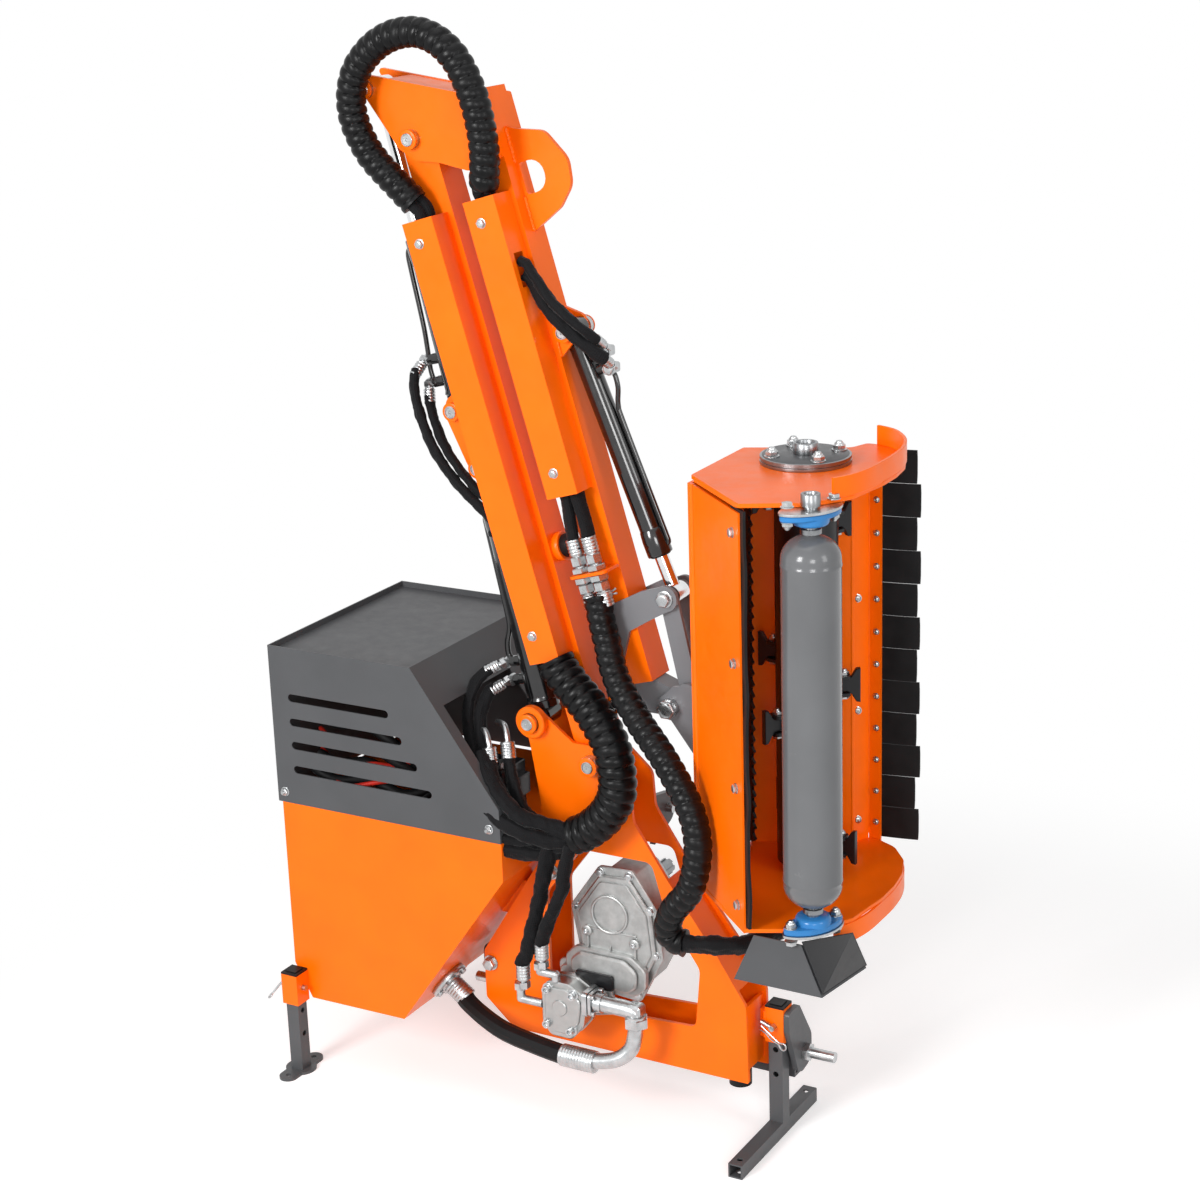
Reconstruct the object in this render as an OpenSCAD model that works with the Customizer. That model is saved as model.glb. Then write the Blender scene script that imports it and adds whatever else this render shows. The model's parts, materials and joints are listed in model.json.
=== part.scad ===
// Tractor-mounted hydraulic arm mower, folded and standing on its parking legs.
// Millimetres. +X is the side the head folds to, +Y points to the tractor, +Z is up.
// The origin is on the floor under the axis of the right parking leg.

/* [Frame] */
// Height of the boom's root pin above the floor
root_z = 757; // [740:1:790]
// Distance of the root pin from the right leg's axis
root_x = 368; // [350:1:390]
// Thickness of the frame's two side plates
plate_t = 8; // [6:1:12]
// Clear gap between the side plates
plate_gap = 84; // [84:1:96]
// Width of the bands that join the plates' edges
band_t = 8; // [6:1:10]

/* [Tank and cover] */
// Height of the oil tank's top face
tank_top = 608; // [590:1:620]
// Wall of the oil tank
tank_wall = 4; // [3:0.5:6]
// Height of the sheet cover above the tank
cover_h = 342; // [300:1:380]
// Sheet thickness of the cover
sheet_t = 3; // [2:0.5:4]
// Height of a slot in the cover
slot_h = 17; // [12:1:22]

/* [Drive] */
// Diameter of the input shaft
input_d = 35; // [30:1:38]
// Length of the gear pump's body
pump_len = 96; // [80:1:110]

/* [Legs] */
// Side of the square leg tubes
leg_w = 30; // [25:1:32]
// Side of the square sockets that hold the legs
socket_w = 40; // [38:1:48]
// Diameter of the lock pins
lock_d = 12; // [8:1:14]
// Length of the right leg's foot bar
foot_len = 347; // [300:1:400]

/* [Boom] */
// Lean of the folded boom from upright
lean = 16; // [14:0.5:17]
// Distance from the root pin to the elbow pin
boom_len = 1260; // [1240:1:1300]
// Side of the square tubes of boom and dipper
tube_w = 70; // [64:1:72]
// Wall of the square tubes
tube_wall = 5; // [4:0.5:8]
// Diameter of the root, elbow and head pins
main_d = 25; // [20:1:25]
// Depth of the hose covers on boom and dipper
cover_depth = 57; // [45:1:65]
// Width of the hose covers
cover_w = 70; // [60:1:75]

/* [Dipper] */
// Distance from the elbow pin down to the head pivot, along the dipper
dipper_len = 1169; // [1150:1:1190]
// Distance between the axes of boom and dipper when folded
fold_gap = 145; // [145:1:155]

/* [Cylinders] */
// Outer diameter of the lift cylinder's barrel
lift_d = 63; // [50:1:66]
// Outer diameter of the dipper cylinder's barrel
reach_d = 52; // [45:1:54]
// Outer diameter of the tilt cylinder's barrel
tilt_d = 44; // [38:1:46]
// Diameter of the piston rods
rod_d = 28; // [22:1:30]
// Diameter of the cylinders' pins
ram_pin_d = 25; // [20:1:26]

/* [Head] */
// Length of the head over its end plates
head_len = 816; // [780:1:860]
// Thickness of the end plates and the hood
head_t = 8; // [6:1:10]
// Radius of the rotor's tube
drum_r = 44.5; // [38:0.5:50]
// Radius that the blades' tips sweep
swing_r = 102; // [90:1:104]
// Number of blade stations along the rotor
stations = 12; // [8:1:14]
// Radius of the ground roller
roller_r = 54; // [44:1:56]
// Width of the skid bands around the end plates
skid_w = 38; // [30:1:50]
// Number of flaps along the front edge
flaps = 12; // [8:1:16]

/* [Hidden] */
$fn = 48;

fit = 0.05;            // radial clearance of a pin in its hole
side_gap = 0.3;        // clearance between faces that slide past each other
arm_y = -20;           // middle plane of frame, boom and dipper
orange = "#F26A1B";
grey = "#6A6B6B";
dark = "#4C4D4F";
black = "#1B1B1C";
steel = "#B9BDC1";
cast = "#A9ABAB";
blue = "#2E77B5";
zinc = "#C9CBCB";

half_gap = plate_gap / 2;
rear_face = arm_y - half_gap - plate_t;   // outer face of the rear plate
front_face = arm_y + half_gap + plate_t;  // outer face of the front plate
main_r = main_d / 2;
ram_pin_r = ram_pin_d / 2;
rod_r = rod_d / 2;
half_tube = tube_w / 2;

// ---- points in the boom's frame: [across, along], origin at the root pin ----
lift_base = [-105, 106];
lift_eye = [-73, 620];
reach_base = [-93.5, 740];
elbow = [0, boom_len];
// ---- points in the dipper's frame: [across, along], origin at the elbow pin ----
reach_eye = [-69, 114];
head_pin = [fold_gap + 65, -dipper_len];
link_pin = head_pin + [-110, 26];
bracket_pin = head_pin + [42, 17];
tilt_eye = head_pin + [53, 210];
tilt_base = [fold_gap + 59, -424];
// ---- layers across the arm, as distances from its middle plane ----
eye_half = 22;         // rod eyes and the dipper's end casting
inner_link = [24, 32];
outer_link = [36, 44];
cheek_in = half_gap;
// ---- the head's own frame: origin on the rotor's axis, half way along ----
pin_to_rotor = 243.2;
pin_to_middle = 69.6;
pivot = [-root_x + cos(lean) * head_pin.x - sin(lean) * (boom_len + head_pin.y),
    root_z + sin(lean) * head_pin.x + cos(lean) * (boom_len + head_pin.y)];
head_at = [pivot.x + pin_to_rotor, 34, pivot.y + pin_to_middle];
half_len = head_len / 2;
roller_at = [132, -264];

// ---- helpers ----
function unit(v) = v / norm(v);
function arc(c, r, from, to, steps) =
    [for (i = [0 : steps]) c + r * [cos(from + (to - from) * i / steps), sin(from + (to - from) * i / steps)]];
// Points of one rounded corner b between its neighbours a and c
function corner(a, b, c, r) =
    let (u = unit(a - b), v = unit(c - b), half = acos(u * v) / 2,
        m = b + unit(u + v) * r / sin(half), p = b + u * r / tan(half), q = b + v * r / tan(half),
        from = atan2(p.y - m.y, p.x - m.x), turn = (atan2(q.y - m.y, q.x - m.x) - from + 540) % 360 - 180)
    arc(m, r, from, from + turn, 5);
// Outline with rounded corners: each entry is [x, y] or [x, y, corner radius]
function rounded(pts) =
    [for (i = [0 : len(pts) - 1])
        let (b = pts[i], a = pts[(i + len(pts) - 1) % len(pts)], c = pts[(i + 1) % len(pts)])
        each (len(b) == 2 ? [b] : corner([a.x, a.y], [b.x, b.y], [c.x, c.y], b.z))];
// Smooth curve through route points
function curve(p, steps) =
    [for (i = [0 : len(p) - 2], k = [0 : steps - 1])
        let (a = p[max(i - 1, 0)], b = p[i], c = p[i + 1], d = p[min(i + 2, len(p) - 1)], t = k / steps)
        b + 0.5 * t * ((c - a) + t * ((2 * a - 5 * b + 4 * c - d) + t * (3 * (b - c) + d - a))),
     p[len(p) - 1]];
function along(p, i) = unit(p[min(i + 1, len(p) - 1)] - p[max(i - 1, 0)]);
// Ring normals carried along a path without twist
function carried(ways, n, i = 0) =
    i == len(ways) ? [] :
    let (t = ways[i], m = unit(n - t * (n * t))) concat([m], carried(ways, m, i + 1));

// A solid hose along a route
module hose(route, r, steps = 3, sides = 10) {
    path = curve(route, steps);
    // the end faces stand square to the route's first and last legs
    top = len(path) - 1;
    start = unit(route[1] - route[0]);
    finish = unit(route[len(route) - 1] - route[len(route) - 2]);
    ways = [for (i = [0 : top]) i == 0 ? start : i == top ? finish : along(path, i)];
    normals = carried(ways, abs(start.y) < 0.9 ? [0, 1, 0] : [1, 0, 0]);
    points = [for (i = [0 : len(path) - 1], k = [0 : sides - 1])
        let (side = cross(ways[i], normals[i]), a = 360 * k / sides)
        path[i] + r * (cos(a) * normals[i] + sin(a) * side)];
    last = top * sides;
    faces = concat(
        [[for (k = [sides - 1 : -1 : 0]) k]],
        [[for (k = [0 : sides - 1]) last + k]],
        [for (i = [0 : len(path) - 2], k = [0 : sides - 1])
            let (n = (k + 1) % sides)
            [i * sides + k, i * sides + n, (i + 1) * sides + n, (i + 1) * sides + k]]);
    polyhedron(points, [for (f = faces) [for (k = [len(f) - 1 : -1 : 0]) f[k]]]);
}
// Extrudes an outline of [x, z] points between two places along Y
module slab(low, high) {
    translate([0, high, 0]) rotate([90, 0, 0]) linear_extrude(high - low) children();
}
// The same, twice, mirrored about the middle plane of the arm
module pair(low, high) {
    slab(low, high) children();
    slab(-high, -low) children();
}
module rod_y(r, low, high) {
    slab(low, high) circle(r);
}
module at2(p) {
    translate([p.x, 0, p.y]) children();
}
module on_boom() {
    translate([-root_x, arm_y, root_z]) rotate([0, -lean, 0]) children();
}
module on_dipper() {
    on_boom() at2(elbow) children();
}
module on_pivot() {
    translate([pivot.x, arm_y, pivot.y]) children();
}
module on_head() {
    translate(head_at) children();
}
// Straight square tube along Z with its wall
module square_tube(w, wall, low, high) {
    translate([-w / 2, -w / 2, low]) difference() {
        cube([w, w, high - low]);
        translate([wall, wall, -1]) cube([w - 2 * wall, w - 2 * wall, high - low + 2]);
    }
}
// Bar of hexagonal nut shape along Z
module hex(across, h) {
    cylinder(d = across / cos(30), h = h, $fn = 6);
}
// Turns +Z to the direction of a line in the XZ plane and moves to its start
module toward(from, to) {
    d = to - from;
    translate([from.x, 0, from.y]) rotate([0, atan2(d.x, d.y), 0]) children();
}

// ---- frame ----
lift_boss = [-root_x + cos(lean) * lift_base.x - sin(lean) * lift_base.y,
    root_z + sin(lean) * lift_base.x + cos(lean) * lift_base.y];
boss_r = 34;
window = [[-484, 217, 20], [-149, 232, 16], [-137, 360, 30], [-212, 470, 20], [-240, 570, 20], [-400, 570, 40],
    [-484, 460, 30]];
module plate_outline() {
    rx = -root_x;
    rz = root_z;
    outline = rounded([[lift_boss.x + 6, lift_boss.y + 28, 18], [rx - 42, rz + 39, 10], [rx + 2, rz + 39, 30],
        [rx + 84, rz - 33, 30], [rx + 89, rz - 107, 40], [-206, 540, 60], [-100, 400, 60], [-37, 301, 20],
        [-33, 133, 4], [-579, 133, 20], [-644, 191, 12], [-644, 298, 12], [-487, 546, 60], [-490, 660, 60],
        [lift_boss.x - 12, lift_boss.y - 48, 40], [lift_boss.x - 30, lift_boss.y + 20, 26]]);
    polygon([for (i = [len(outline) - 1 : -1 : 0]) outline[i]]);
}
module side_plate(low) {
    difference() {
        slab(low, low + plate_t) plate_outline();
        slab(low - 1, low + plate_t + 1) polygon(rounded(window));
        translate([-root_x, 0, root_z]) rod_y(main_r + fit, low - 1, low + plate_t + 1);
        at2(lift_boss) rod_y(ram_pin_r + fit, low - 1, low + plate_t + 1);
        for (b = plate_bolts) at2(b) rod_y(bolt_r + fit, low - 1, low + plate_t + 1);
    }
}
plate_bolts = [[-628, 303 - 30], [-470, 509]];
bolt_r = 7;
module rear_plate() {
    color(orange) side_plate(rear_face);
}
module front_plate() {
    color(orange) side_plate(front_face - plate_t);
}
// Flat bar between the plates along a line from p to q
module band(p, q) {
    toward(p, q) translate([-band_t, arm_y - half_gap, 0]) cube([band_t, plate_gap, norm(q - p)]);
}
module edge_bands() {
    color(orange) {
        band([-52, 290], [-52, 150]);
        band([-64, 144], [-560, 144]);
        band([-628, 200], [-628, 262]);
        band([-620, 305], [-506, 494]);
        band([-218, 530], [-66, 320]);
        // bracket that carries the tank's sloping side
        slab(arm_y - 20, arm_y + 20)
            polygon([[slant_x(380), 380], [slant_x(460), 460], [-532, 460], [-584, 380]]);
    }
}
// Place of the tank's sloping side at a height, with the gap to it
function slant_x(z) =
    side_gap * 1.3 + slant_low.x + (z - slant_low.y) * (tank_right - slant_low.x) / (slant_top - slant_low.y);
module head_bolt(r, h) {
    rotate([90, 0, 0]) hex(3.4 * r, h);
}
// Root pin and lift base pin with their retaining plates, and the plate bolts with spacers
module frame_pins() {
    color(zinc) {
        translate([-root_x, 0, root_z]) {
            rod_y(main_r, rear_face - 12, front_face + 12);
            rod_y(main_r + 8, rear_face - 16, rear_face - side_gap);
            rod_y(main_r + 8, front_face + side_gap, front_face + 14);
        }
        at2(lift_boss) {
            rod_y(ram_pin_r, rear_face - 20, front_face + 8);
            rod_y(ram_pin_r + 7, rear_face - 24, rear_face - side_gap);
            rod_y(ram_pin_r + 5, front_face + side_gap, front_face + 10);
        }
        for (b = plate_bolts) at2(b) {
            rod_y(bolt_r, rear_face - 6, front_face + 10);
            translate([0, rear_face - side_gap, 0]) head_bolt(bolt_r, 9);
            translate([0, front_face + 9 + side_gap, 0]) head_bolt(bolt_r, 9);
        }
    }
}

// ---- three-point headstock on the tractor side ----
hitch_mid = -324;
hitch_half = 344;
lobe_t = 12;
beam = [30 + side_gap, 83, 112, 165];    // low y, high y, low z, high z
lower_pin = [55, 162];
lower_pin_d = 22;
top_pin_d = 19;
mast_h = 460;
lug_half = 26;
lug_t = 12;
module yz(low, high) {
    translate([low, 0, 0]) rotate([90, 0, 90]) linear_extrude(high - low) children();
}
module headstock() {
    top = lower_pin.y + mast_h;
    color(dark) {
        difference() {
            translate([hitch_mid - hitch_half, beam[0], beam[2]])
                cube([2 * hitch_half, beam[1] - beam[0], beam[3] - beam[2]]);
            translate([hitch_mid - hitch_half - 1, beam[0] + 6, beam[2] + 6])
                cube([2 * hitch_half + 2, beam[1] - beam[0] - 12, beam[3] - beam[2] - 12]);
        }
        for (side = [-1, 1])
            translate([hitch_mid + side * (hitch_half + lobe_t / 2), 0, 0]) difference() {
                yz(-lobe_t / 2, lobe_t / 2)
                    polygon(rounded([[-18, 277, 10], [30, 277, 10], [86, 190, 30], [86, 132, 26], [28, 120, 26],
                        [-18, 235, 20]]));
                yz(-lobe_t, lobe_t) translate(lower_pin) circle(d = lower_pin_d + 2 * fit);
            }
        for (side = [-1, 1])
            translate([hitch_mid + side * (lug_half + lug_t / 2), 0, 0]) difference() {
                yz(-lug_t / 2, lug_t / 2)
                    polygon(rounded([[front_face + side_gap, top - 60], [front_face + side_gap, top + 45],
                        [top_reach, top + 28, 26], [top_reach, top - 26, 26]]));
                yz(-lug_t, lug_t) translate([top_reach - 28, top]) circle(d = top_pin_d + 2 * fit);
            }
    }
}
top_reach = 116;
module hitch_pins() {
    top = lower_pin.y + mast_h;
    color(zinc) {
        for (side = [-1, 1])
            translate([hitch_mid + side * hitch_half, lower_pin.x, lower_pin.y]) rotate([0, side * 90, 0]) {
                translate([0, 0, side_gap]) cylinder(d = lower_pin_d, h = lobe_t + 66 - side_gap);
                translate([0, 0, lobe_t + side_gap]) hex(34, 12);
            }
        translate([hitch_mid - lug_half - lug_t - 14, top_reach - 28, top]) rotate([0, 90, 0])
            cylinder(d = top_pin_d, h = 2 * (lug_half + lug_t + 14));
    }
}

// ---- oil tank and its cover ----
tank_y = [-194, 280];
tank_left = -1045;
tank_right = -509.5;
slant_low = [-770, 167];
slant_top = 527;
module tank_outline(inset) {
    polygon([[tank_left + inset, tank_top - inset], [tank_left + inset, 240], [-1005, 165 + inset],
        [slant_low.x - inset / 2, slant_low.y + inset], [tank_right - inset, slant_top + inset / 2],
        [tank_right - inset, tank_top - inset]]);
}
link_room = 46;          // kept free round the lower hitch pin for the tractor's link
module tank_solid(inset) {
    difference() {
        slab(tank_y[0] + inset, tank_y[1] - inset) tank_outline(inset);
        // step in the bottom over the tractor's lower link
        translate([tank_left - 1, lower_pin.x - link_room - inset, 0])
            cube([tank_right - tank_left + 2, tank_y[1], lower_pin.y + link_room + inset]);
    }
}
module oil_tank() {
    color(orange) difference() {
        tank_solid(0);
        tank_solid(tank_wall);
    }
}
cover_z = tank_top + side_gap;
cover_top = cover_z + cover_h;
cover_y = [-194, 296];
cover_left = -1055;
tray_depth = 12;         // depth of the top panel below its rim
fold_x = -706;
mouth_x = -512;
slope_h = 270;
module cover_outline() {
    polygon([[cover_left, cover_z], [cover_left, cover_top], [fold_x, cover_top], [mouth_x, cover_top - slope_h],
        [mouth_x + 1, cover_z]]);
}
module cover_inside(t) {
    ceiling = cover_top - tray_depth - t;
    polygon([[cover_left + t, cover_z - 10], [cover_left + t, ceiling],
        [fold_x - t / 2 + tray_depth * (mouth_x - fold_x) / slope_h, ceiling],
        [mouth_x - t, cover_top - slope_h - t / 2], [mouth_x + 1 - t, cover_z - 10]]);
}
slots = [[-1012, -764, 234], [-1012, -735, 181], [-1011, -701, 130], [-1010, -669, 77]];
module tank_cover() {
    color(grey) difference() {
        slab(cover_y[0], cover_y[1]) cover_outline();
        slab(cover_y[0] + sheet_t, cover_y[1] - sheet_t) cover_inside(sheet_t);
        // top panel set down inside its rim
        translate([cover_left + sheet_t, cover_y[0] + sheet_t, cover_top - tray_depth])
            cube([fold_x - cover_left - 2 * sheet_t, cover_y[1] - cover_y[0] - 2 * sheet_t, tray_depth + 1]);
        for (s = slots)
            slab(cover_y[0] - 1, cover_y[0] + sheet_t + 1) {
                translate([s[0] + slot_h / 2, cover_z + s[2]]) circle(d = slot_h);
                translate([s[1] - slot_h / 2, cover_z + s[2]]) circle(d = slot_h);
                translate([s[0] + slot_h / 2, cover_z + s[2] - slot_h / 2]) square([s[1] - s[0] - slot_h, slot_h]);
            }
        // mouth for the hoses in the sloping side
        translate([-670, -165, cover_z - 10]) cube([200, 250, 272]);
    }
}

// ---- suction line ----
flange_at = [-728, -91, 225];
slant_turn = atan2(slant_top - slant_low.y, tank_right - slant_low.x);
suction_reach = 36.6;
flange_tip = flange_at + suction_reach * [sin(slant_turn), 0, -cos(slant_turn)];
module on_slant() {
    translate(flange_at) rotate([0, 180 - slant_turn, 0]) children();
}
module suction_flange() {
    color(zinc) on_slant() {
        translate([0, 0, 0.3]) cylinder(r = 44, h = 12);
        for (a = [0 : 60 : 300]) rotate([0, 0, a]) translate([34, 0, 12.3]) hex(10, 6);
        translate([0, 0, 12.3]) cylinder(r = 22, h = 24);
    }
}
suction_route = [flange_tip, flange_tip + (flange_tip - flange_at) / 3, [-672, -98, 184], [-616, -124, 174],
    [-551, -144, 164], [-461, -160, 160], [-400, -170, 160], [-382, -170, 160]];
pipe_route = [[-381.7, -170, 160], [-366, -170, 160], [-320, -170, 164], [-275, -166, 178],
    [-248, -156, 205], [-240, -150, 250]];
module suction_hose() {
    color(black) hose(suction_route, 20);
}
module suction_pipe() {
    color(zinc) {
        hose(pipe_route, 17, 4);
        translate([-240, -150, 250]) hex(44, 22);
        translate([-240, -150, 272]) cylinder(r = 17, h = 28);
        translate([-341 + side_gap, -150, 284]) rotate([0, 90, 0]) cylinder(r = 15, h = 101);
    }
}

// ---- gearbox, adapter, pump ----
hub = [-316, 469];
gear_face = -79;
gear_back = 40;
pump_at = [-401, 266];
module gearbox() {
    middle = [-318, 410];
    flange = rounded([[-356, 546, 14], [-281, 550, 14], [-226, 474, 14], [-215, 368, 20], [-268, 264, 14],
        [-390, 273, 14], [-424, 450, 20]]);
    body = [for (p = flange) middle + 0.88 * (p - middle)];
    color(cast) {
        difference() {
            slab(rear_face - side_gap, gear_back) polygon(body);
            slab(gear_back - 20, gear_back + 1) translate(hub) circle(d = input_d + 2 * fit);
        }
        slab(gear_face, rear_face - side_gap) polygon(flange);
    }
}
module pump_adapter() {
    color(cast) {
        slab(gear_face - 22, gear_face - side_gap) polygon(rounded([[-452, 330, 16], [-346, 348, 16],
            [-318, 230, 16], [-440, 200, 16]]));
        at2(pump_at) rod_y(40, gear_face - 40, gear_face - 22 - side_gap);
    }
}
module gear_pump() {
    back = gear_face - 40 - side_gap;
    front = back - pump_len + 40;
    color(cast) at2(pump_at) {
        slab(front, back) polygon(rounded([[-45, -40, 22], [-28, -68, 16], [22, -68, 16], [50, -34, 20],
            [60, 30, 16], [20, 53, 18], [-30, 53, 18], [-45, 30, 16]]));
        for (p = [[-30, -40], [24, -46], [30, 34], [-28, 36]])
            translate([p.x, front - side_gap, p.y]) rotate([90, 0, 0]) cylinder(r = 8, h = 8);
    }
}
module input_shaft() {
    teeth = 6;
    color(steel) at2(hub) difference() {
        rod_y(input_d / 2, gear_back - 19, gear_back + 95);
        for (a = [0 : teeth - 1]) rotate([0, a * 360 / teeth, 0])
            translate([-3.5, gear_back + 20, input_d / 2 - 3]) cube([7, 76, 6]);
    }
}
// Bent pipe from p to q with a fitting on top, both in one XZ plane
module pump_elbow(x_low, x_high, z_low, z_high, hex_d) {
    translate([x_low, -164, z_low]) sphere(r = 9);
    translate([x_low, -164, z_low]) rotate([0, 90, 0]) cylinder(r = 9, h = x_high - x_low);
    translate([x_low, -164, z_low]) cylinder(r = 9, h = z_high - z_low);
    translate([x_low, -164, z_high]) hex(hex_d, 14);
}
module pump_elbows() {
    color(zinc) {
        pump_elbow(-498, pump_at.x - 45 - side_gap, 262, 284, 24);
        pump_elbow(-450, -414, 332, 338, 24);
        translate([-414, -164, pump_at.y + 53 + side_gap]) cylinder(r = 9, h = 13 - side_gap);
        translate([-414, -164, 332]) sphere(r = 9);
    }
}
module pump_hoses() {
    color(black) {
        hose([[-431, -158, 560], [-440, -160, 520], [-454, -161, 464], [-472, -164, 390], [-492, -164, 336],
            [-498, -164, 312], [-498, -164, 298.4]], 13);
        hose([[-388, -158, 556], [-394, -160, 520], [-409, -162, 484], [-432, -164, 430], [-447, -164, 388],
            [-450, -164, 366], [-450, -164, 352.4]], 13);
    }
}
lift_port_z = [75, 113];
module lift_hoses() {
    color(black) {
        hose([[-571, -20, 890.6], [-580, -21, 888], [-594, -34, 882], [-612, -60, 862], [-612, -90, 820], [-598, -112, 780],
            [-565, -130, 730], [-530, -146, 690], [-500, -150, 668]], 8, 3, 8);
        hose([[-579, -20, 927.4], [-588, -21, 925], [-608, -36, 918], [-634, -62, 892], [-642, -88, 840], [-626, -110, 790],
            [-592, -134, 730], [-548, -150, 680], [-516, -154, 650]], 8, 3, 8);
    }
}

// ---- parking legs ----
left_at = [-1034, tank_y[0] - side_gap - socket_w / 2];
socket_z = [208, 283];
left_socket_z = [160, 228];
slack = 0.4;
pin_z = 245;
left_pin_z = 196;
module socket(z, hole_z) {
    difference() {
        translate([-socket_w / 2, -socket_w / 2, z[0]]) cube([socket_w, socket_w, z[1] - z[0]]);
        translate([-leg_w / 2 - slack, -leg_w / 2 - slack, z[0] - 1])
            cube([leg_w + 2 * slack, leg_w + 2 * slack, z[1] - z[0] + 2]);
        translate([0, -socket_w, hole_z]) rotate([-90, 0, 0]) cylinder(d = lock_d + 2 * fit, h = 2 * socket_w);
    }
}
module leg_sockets() {
    color(orange) {
        socket(socket_z, pin_z);
        translate([-33, -14, socket_z[0] + 6]) cube([33 - socket_w / 2, 28, 60]);
        translate([left_at.x, left_at.y, 0]) rotate([0, 0, 90]) socket(left_socket_z, left_pin_z);
    }
}
module cap(z) {
    translate([-socket_w / 2, -socket_w / 2, z + side_gap]) cube([socket_w, socket_w, 4]);
    translate([-leg_w / 2 + 2, -leg_w / 2 + 2, z + side_gap + 4]) cube([leg_w - 4, leg_w - 4, 2]);
}
module socket_caps() {
    color(black) {
        cap(socket_z[1]);
        translate([left_at.x, left_at.y, 0]) cap(left_socket_z[1]);
    }
}
module leg(low, high, hole_z) {
    difference() {
        square_tube(leg_w, 3, low, high);
        for (z = [hole_z : -54.5 : low + 60])
            translate([0, -leg_w, z]) rotate([-90, 0, 0]) cylinder(d = lock_d + 2 * fit, h = 2 * leg_w);
    }
}
module right_leg() {
    color(dark) {
        leg(leg_w, socket_z[1] - 1, pin_z);
        translate([-15, -201, 0]) difference() {
            cube([30, foot_len, leg_w]);
            translate([3, -1, 3]) cube([24, foot_len + 2, leg_w - 6]);
            for (y = [22, foot_len - 22]) translate([15, y, -1]) cylinder(r = 6, h = leg_w + 2);
        }
    }
}
module foot_leg() {
    color(dark) translate([left_at.x, left_at.y, 0]) {
        rotate([0, 0, 90]) leg(6, left_socket_z[1] - 1, left_pin_z);
        difference() {
            union() {
                cylinder(r = 33, h = 6);
                translate([-20, -45, 0]) cube([40, 90, 6]);
                translate([0, -45, 0]) cylinder(r = 20, h = 6);
                translate([0, 45, 0]) cylinder(r = 20, h = 6);
            }
            for (y = [-45, 45]) translate([0, y, -1]) cylinder(r = 6, h = 8);
        }
    }
}
// Pin along Y through a socket, with a bent handle
module lock_pin() {
    color(zinc) {
        rod_y(lock_d / 2, -socket_w / 2 - 14, socket_w / 2 + 9);
        translate([0, -socket_w / 2 - 14 + lock_d / 2, 0]) rotate([0, -70, 0]) cylinder(d = lock_d - 2, h = 26);
    }
}
module right_lock_pin() {
    translate([0, 0, pin_z]) lock_pin();
}
module left_lock_pin() {
    translate([left_at.x, left_at.y, left_pin_z]) rotate([0, 0, -90]) lock_pin();
}
module pivot_cap() {
    color(black) translate([-76, arm_y, 103]) cylinder(r = 23, h = 33 - side_gap);
}

// ---- boom ----
tube_low = 30;
tube_high = boom_len - 26;
bush_r = main_r + 12;
module bush(r_in, r_out, half) {
    difference() {
        rod_y(r_out, -half, half);
        rod_y(r_in, -half - 1, half + 1);
    }
}
ear = [26, 34];
module ear_outline() {
    polygon(rounded([[-half_tube + 1, lift_eye.y - 52], [lift_eye.x - 16, lift_eye.y - 22, 18],
        [lift_eye.x - 26, lift_eye.y + 18, 30], [reach_base.x - 22, reach_base.y - 8, 20],
        [reach_base.x - 12, reach_base.y + 24, 22], [-half_tube + 1, reach_base.y + 52]]));
}
module boom_tube() {
    color(orange) on_boom() {
        difference() {
            union() {
                square_tube(tube_w, tube_wall, tube_low, tube_high);
                bush(main_r + fit, bush_r, half_gap - side_gap);
                at2(elbow) bush(main_r + fit, bush_r, cheek_in - side_gap);
                intersection() {
                    slab(-half_tube, half_tube) {
                        translate([0, 0]) circle(r = half_tube);
                        translate([-half_tube, 0]) square([tube_w, tube_low]);
                        translate(elbow) circle(r = half_tube - 3);
                        translate([-half_tube, tube_high]) square([tube_w, 10]);
                    }
                    translate([-200, -half_tube, -100]) cube([400, tube_w, boom_len + 200]);
                }
                pair(ear[0], ear[1]) ear_outline();
            }
            rod_y(main_r + fit, -half_gap, half_gap);
            at2(elbow) rod_y(main_r + fit, -half_gap, half_gap);
            at2(lift_eye) rod_y(ram_pin_r + fit, -60, 60);
            at2(reach_base) rod_y(ram_pin_r + fit, -60, 60);
        }
    }
}
boom_cover_t = [227, 1111];
boom_cover_s = -12;
module hose_cover(mid, low, high) {
    translate([mid - cover_w / 2, -half_tube - cover_depth, low]) difference() {
        cube([cover_w, cover_depth, high - low]);
        translate([sheet_t, sheet_t, -1]) cube([cover_w - 2 * sheet_t, cover_depth, high - low + 2]);
    }
}
// Round head screw in the cover's outer face
module cover_screw(s, t) {
    translate([s, -half_tube - cover_depth - side_gap, t]) rotate([90, 0, 0]) cylinder(r = 7, h = 4);
}
module boom_cover() {
    color(orange) on_boom() {
        hose_cover(boom_cover_s, boom_cover_t[0], boom_cover_t[1] + boom_len - 1260);
        cover_screw(-20, 1067 + boom_len - 1260);
        cover_screw(-22, 283);
    }
}
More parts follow.
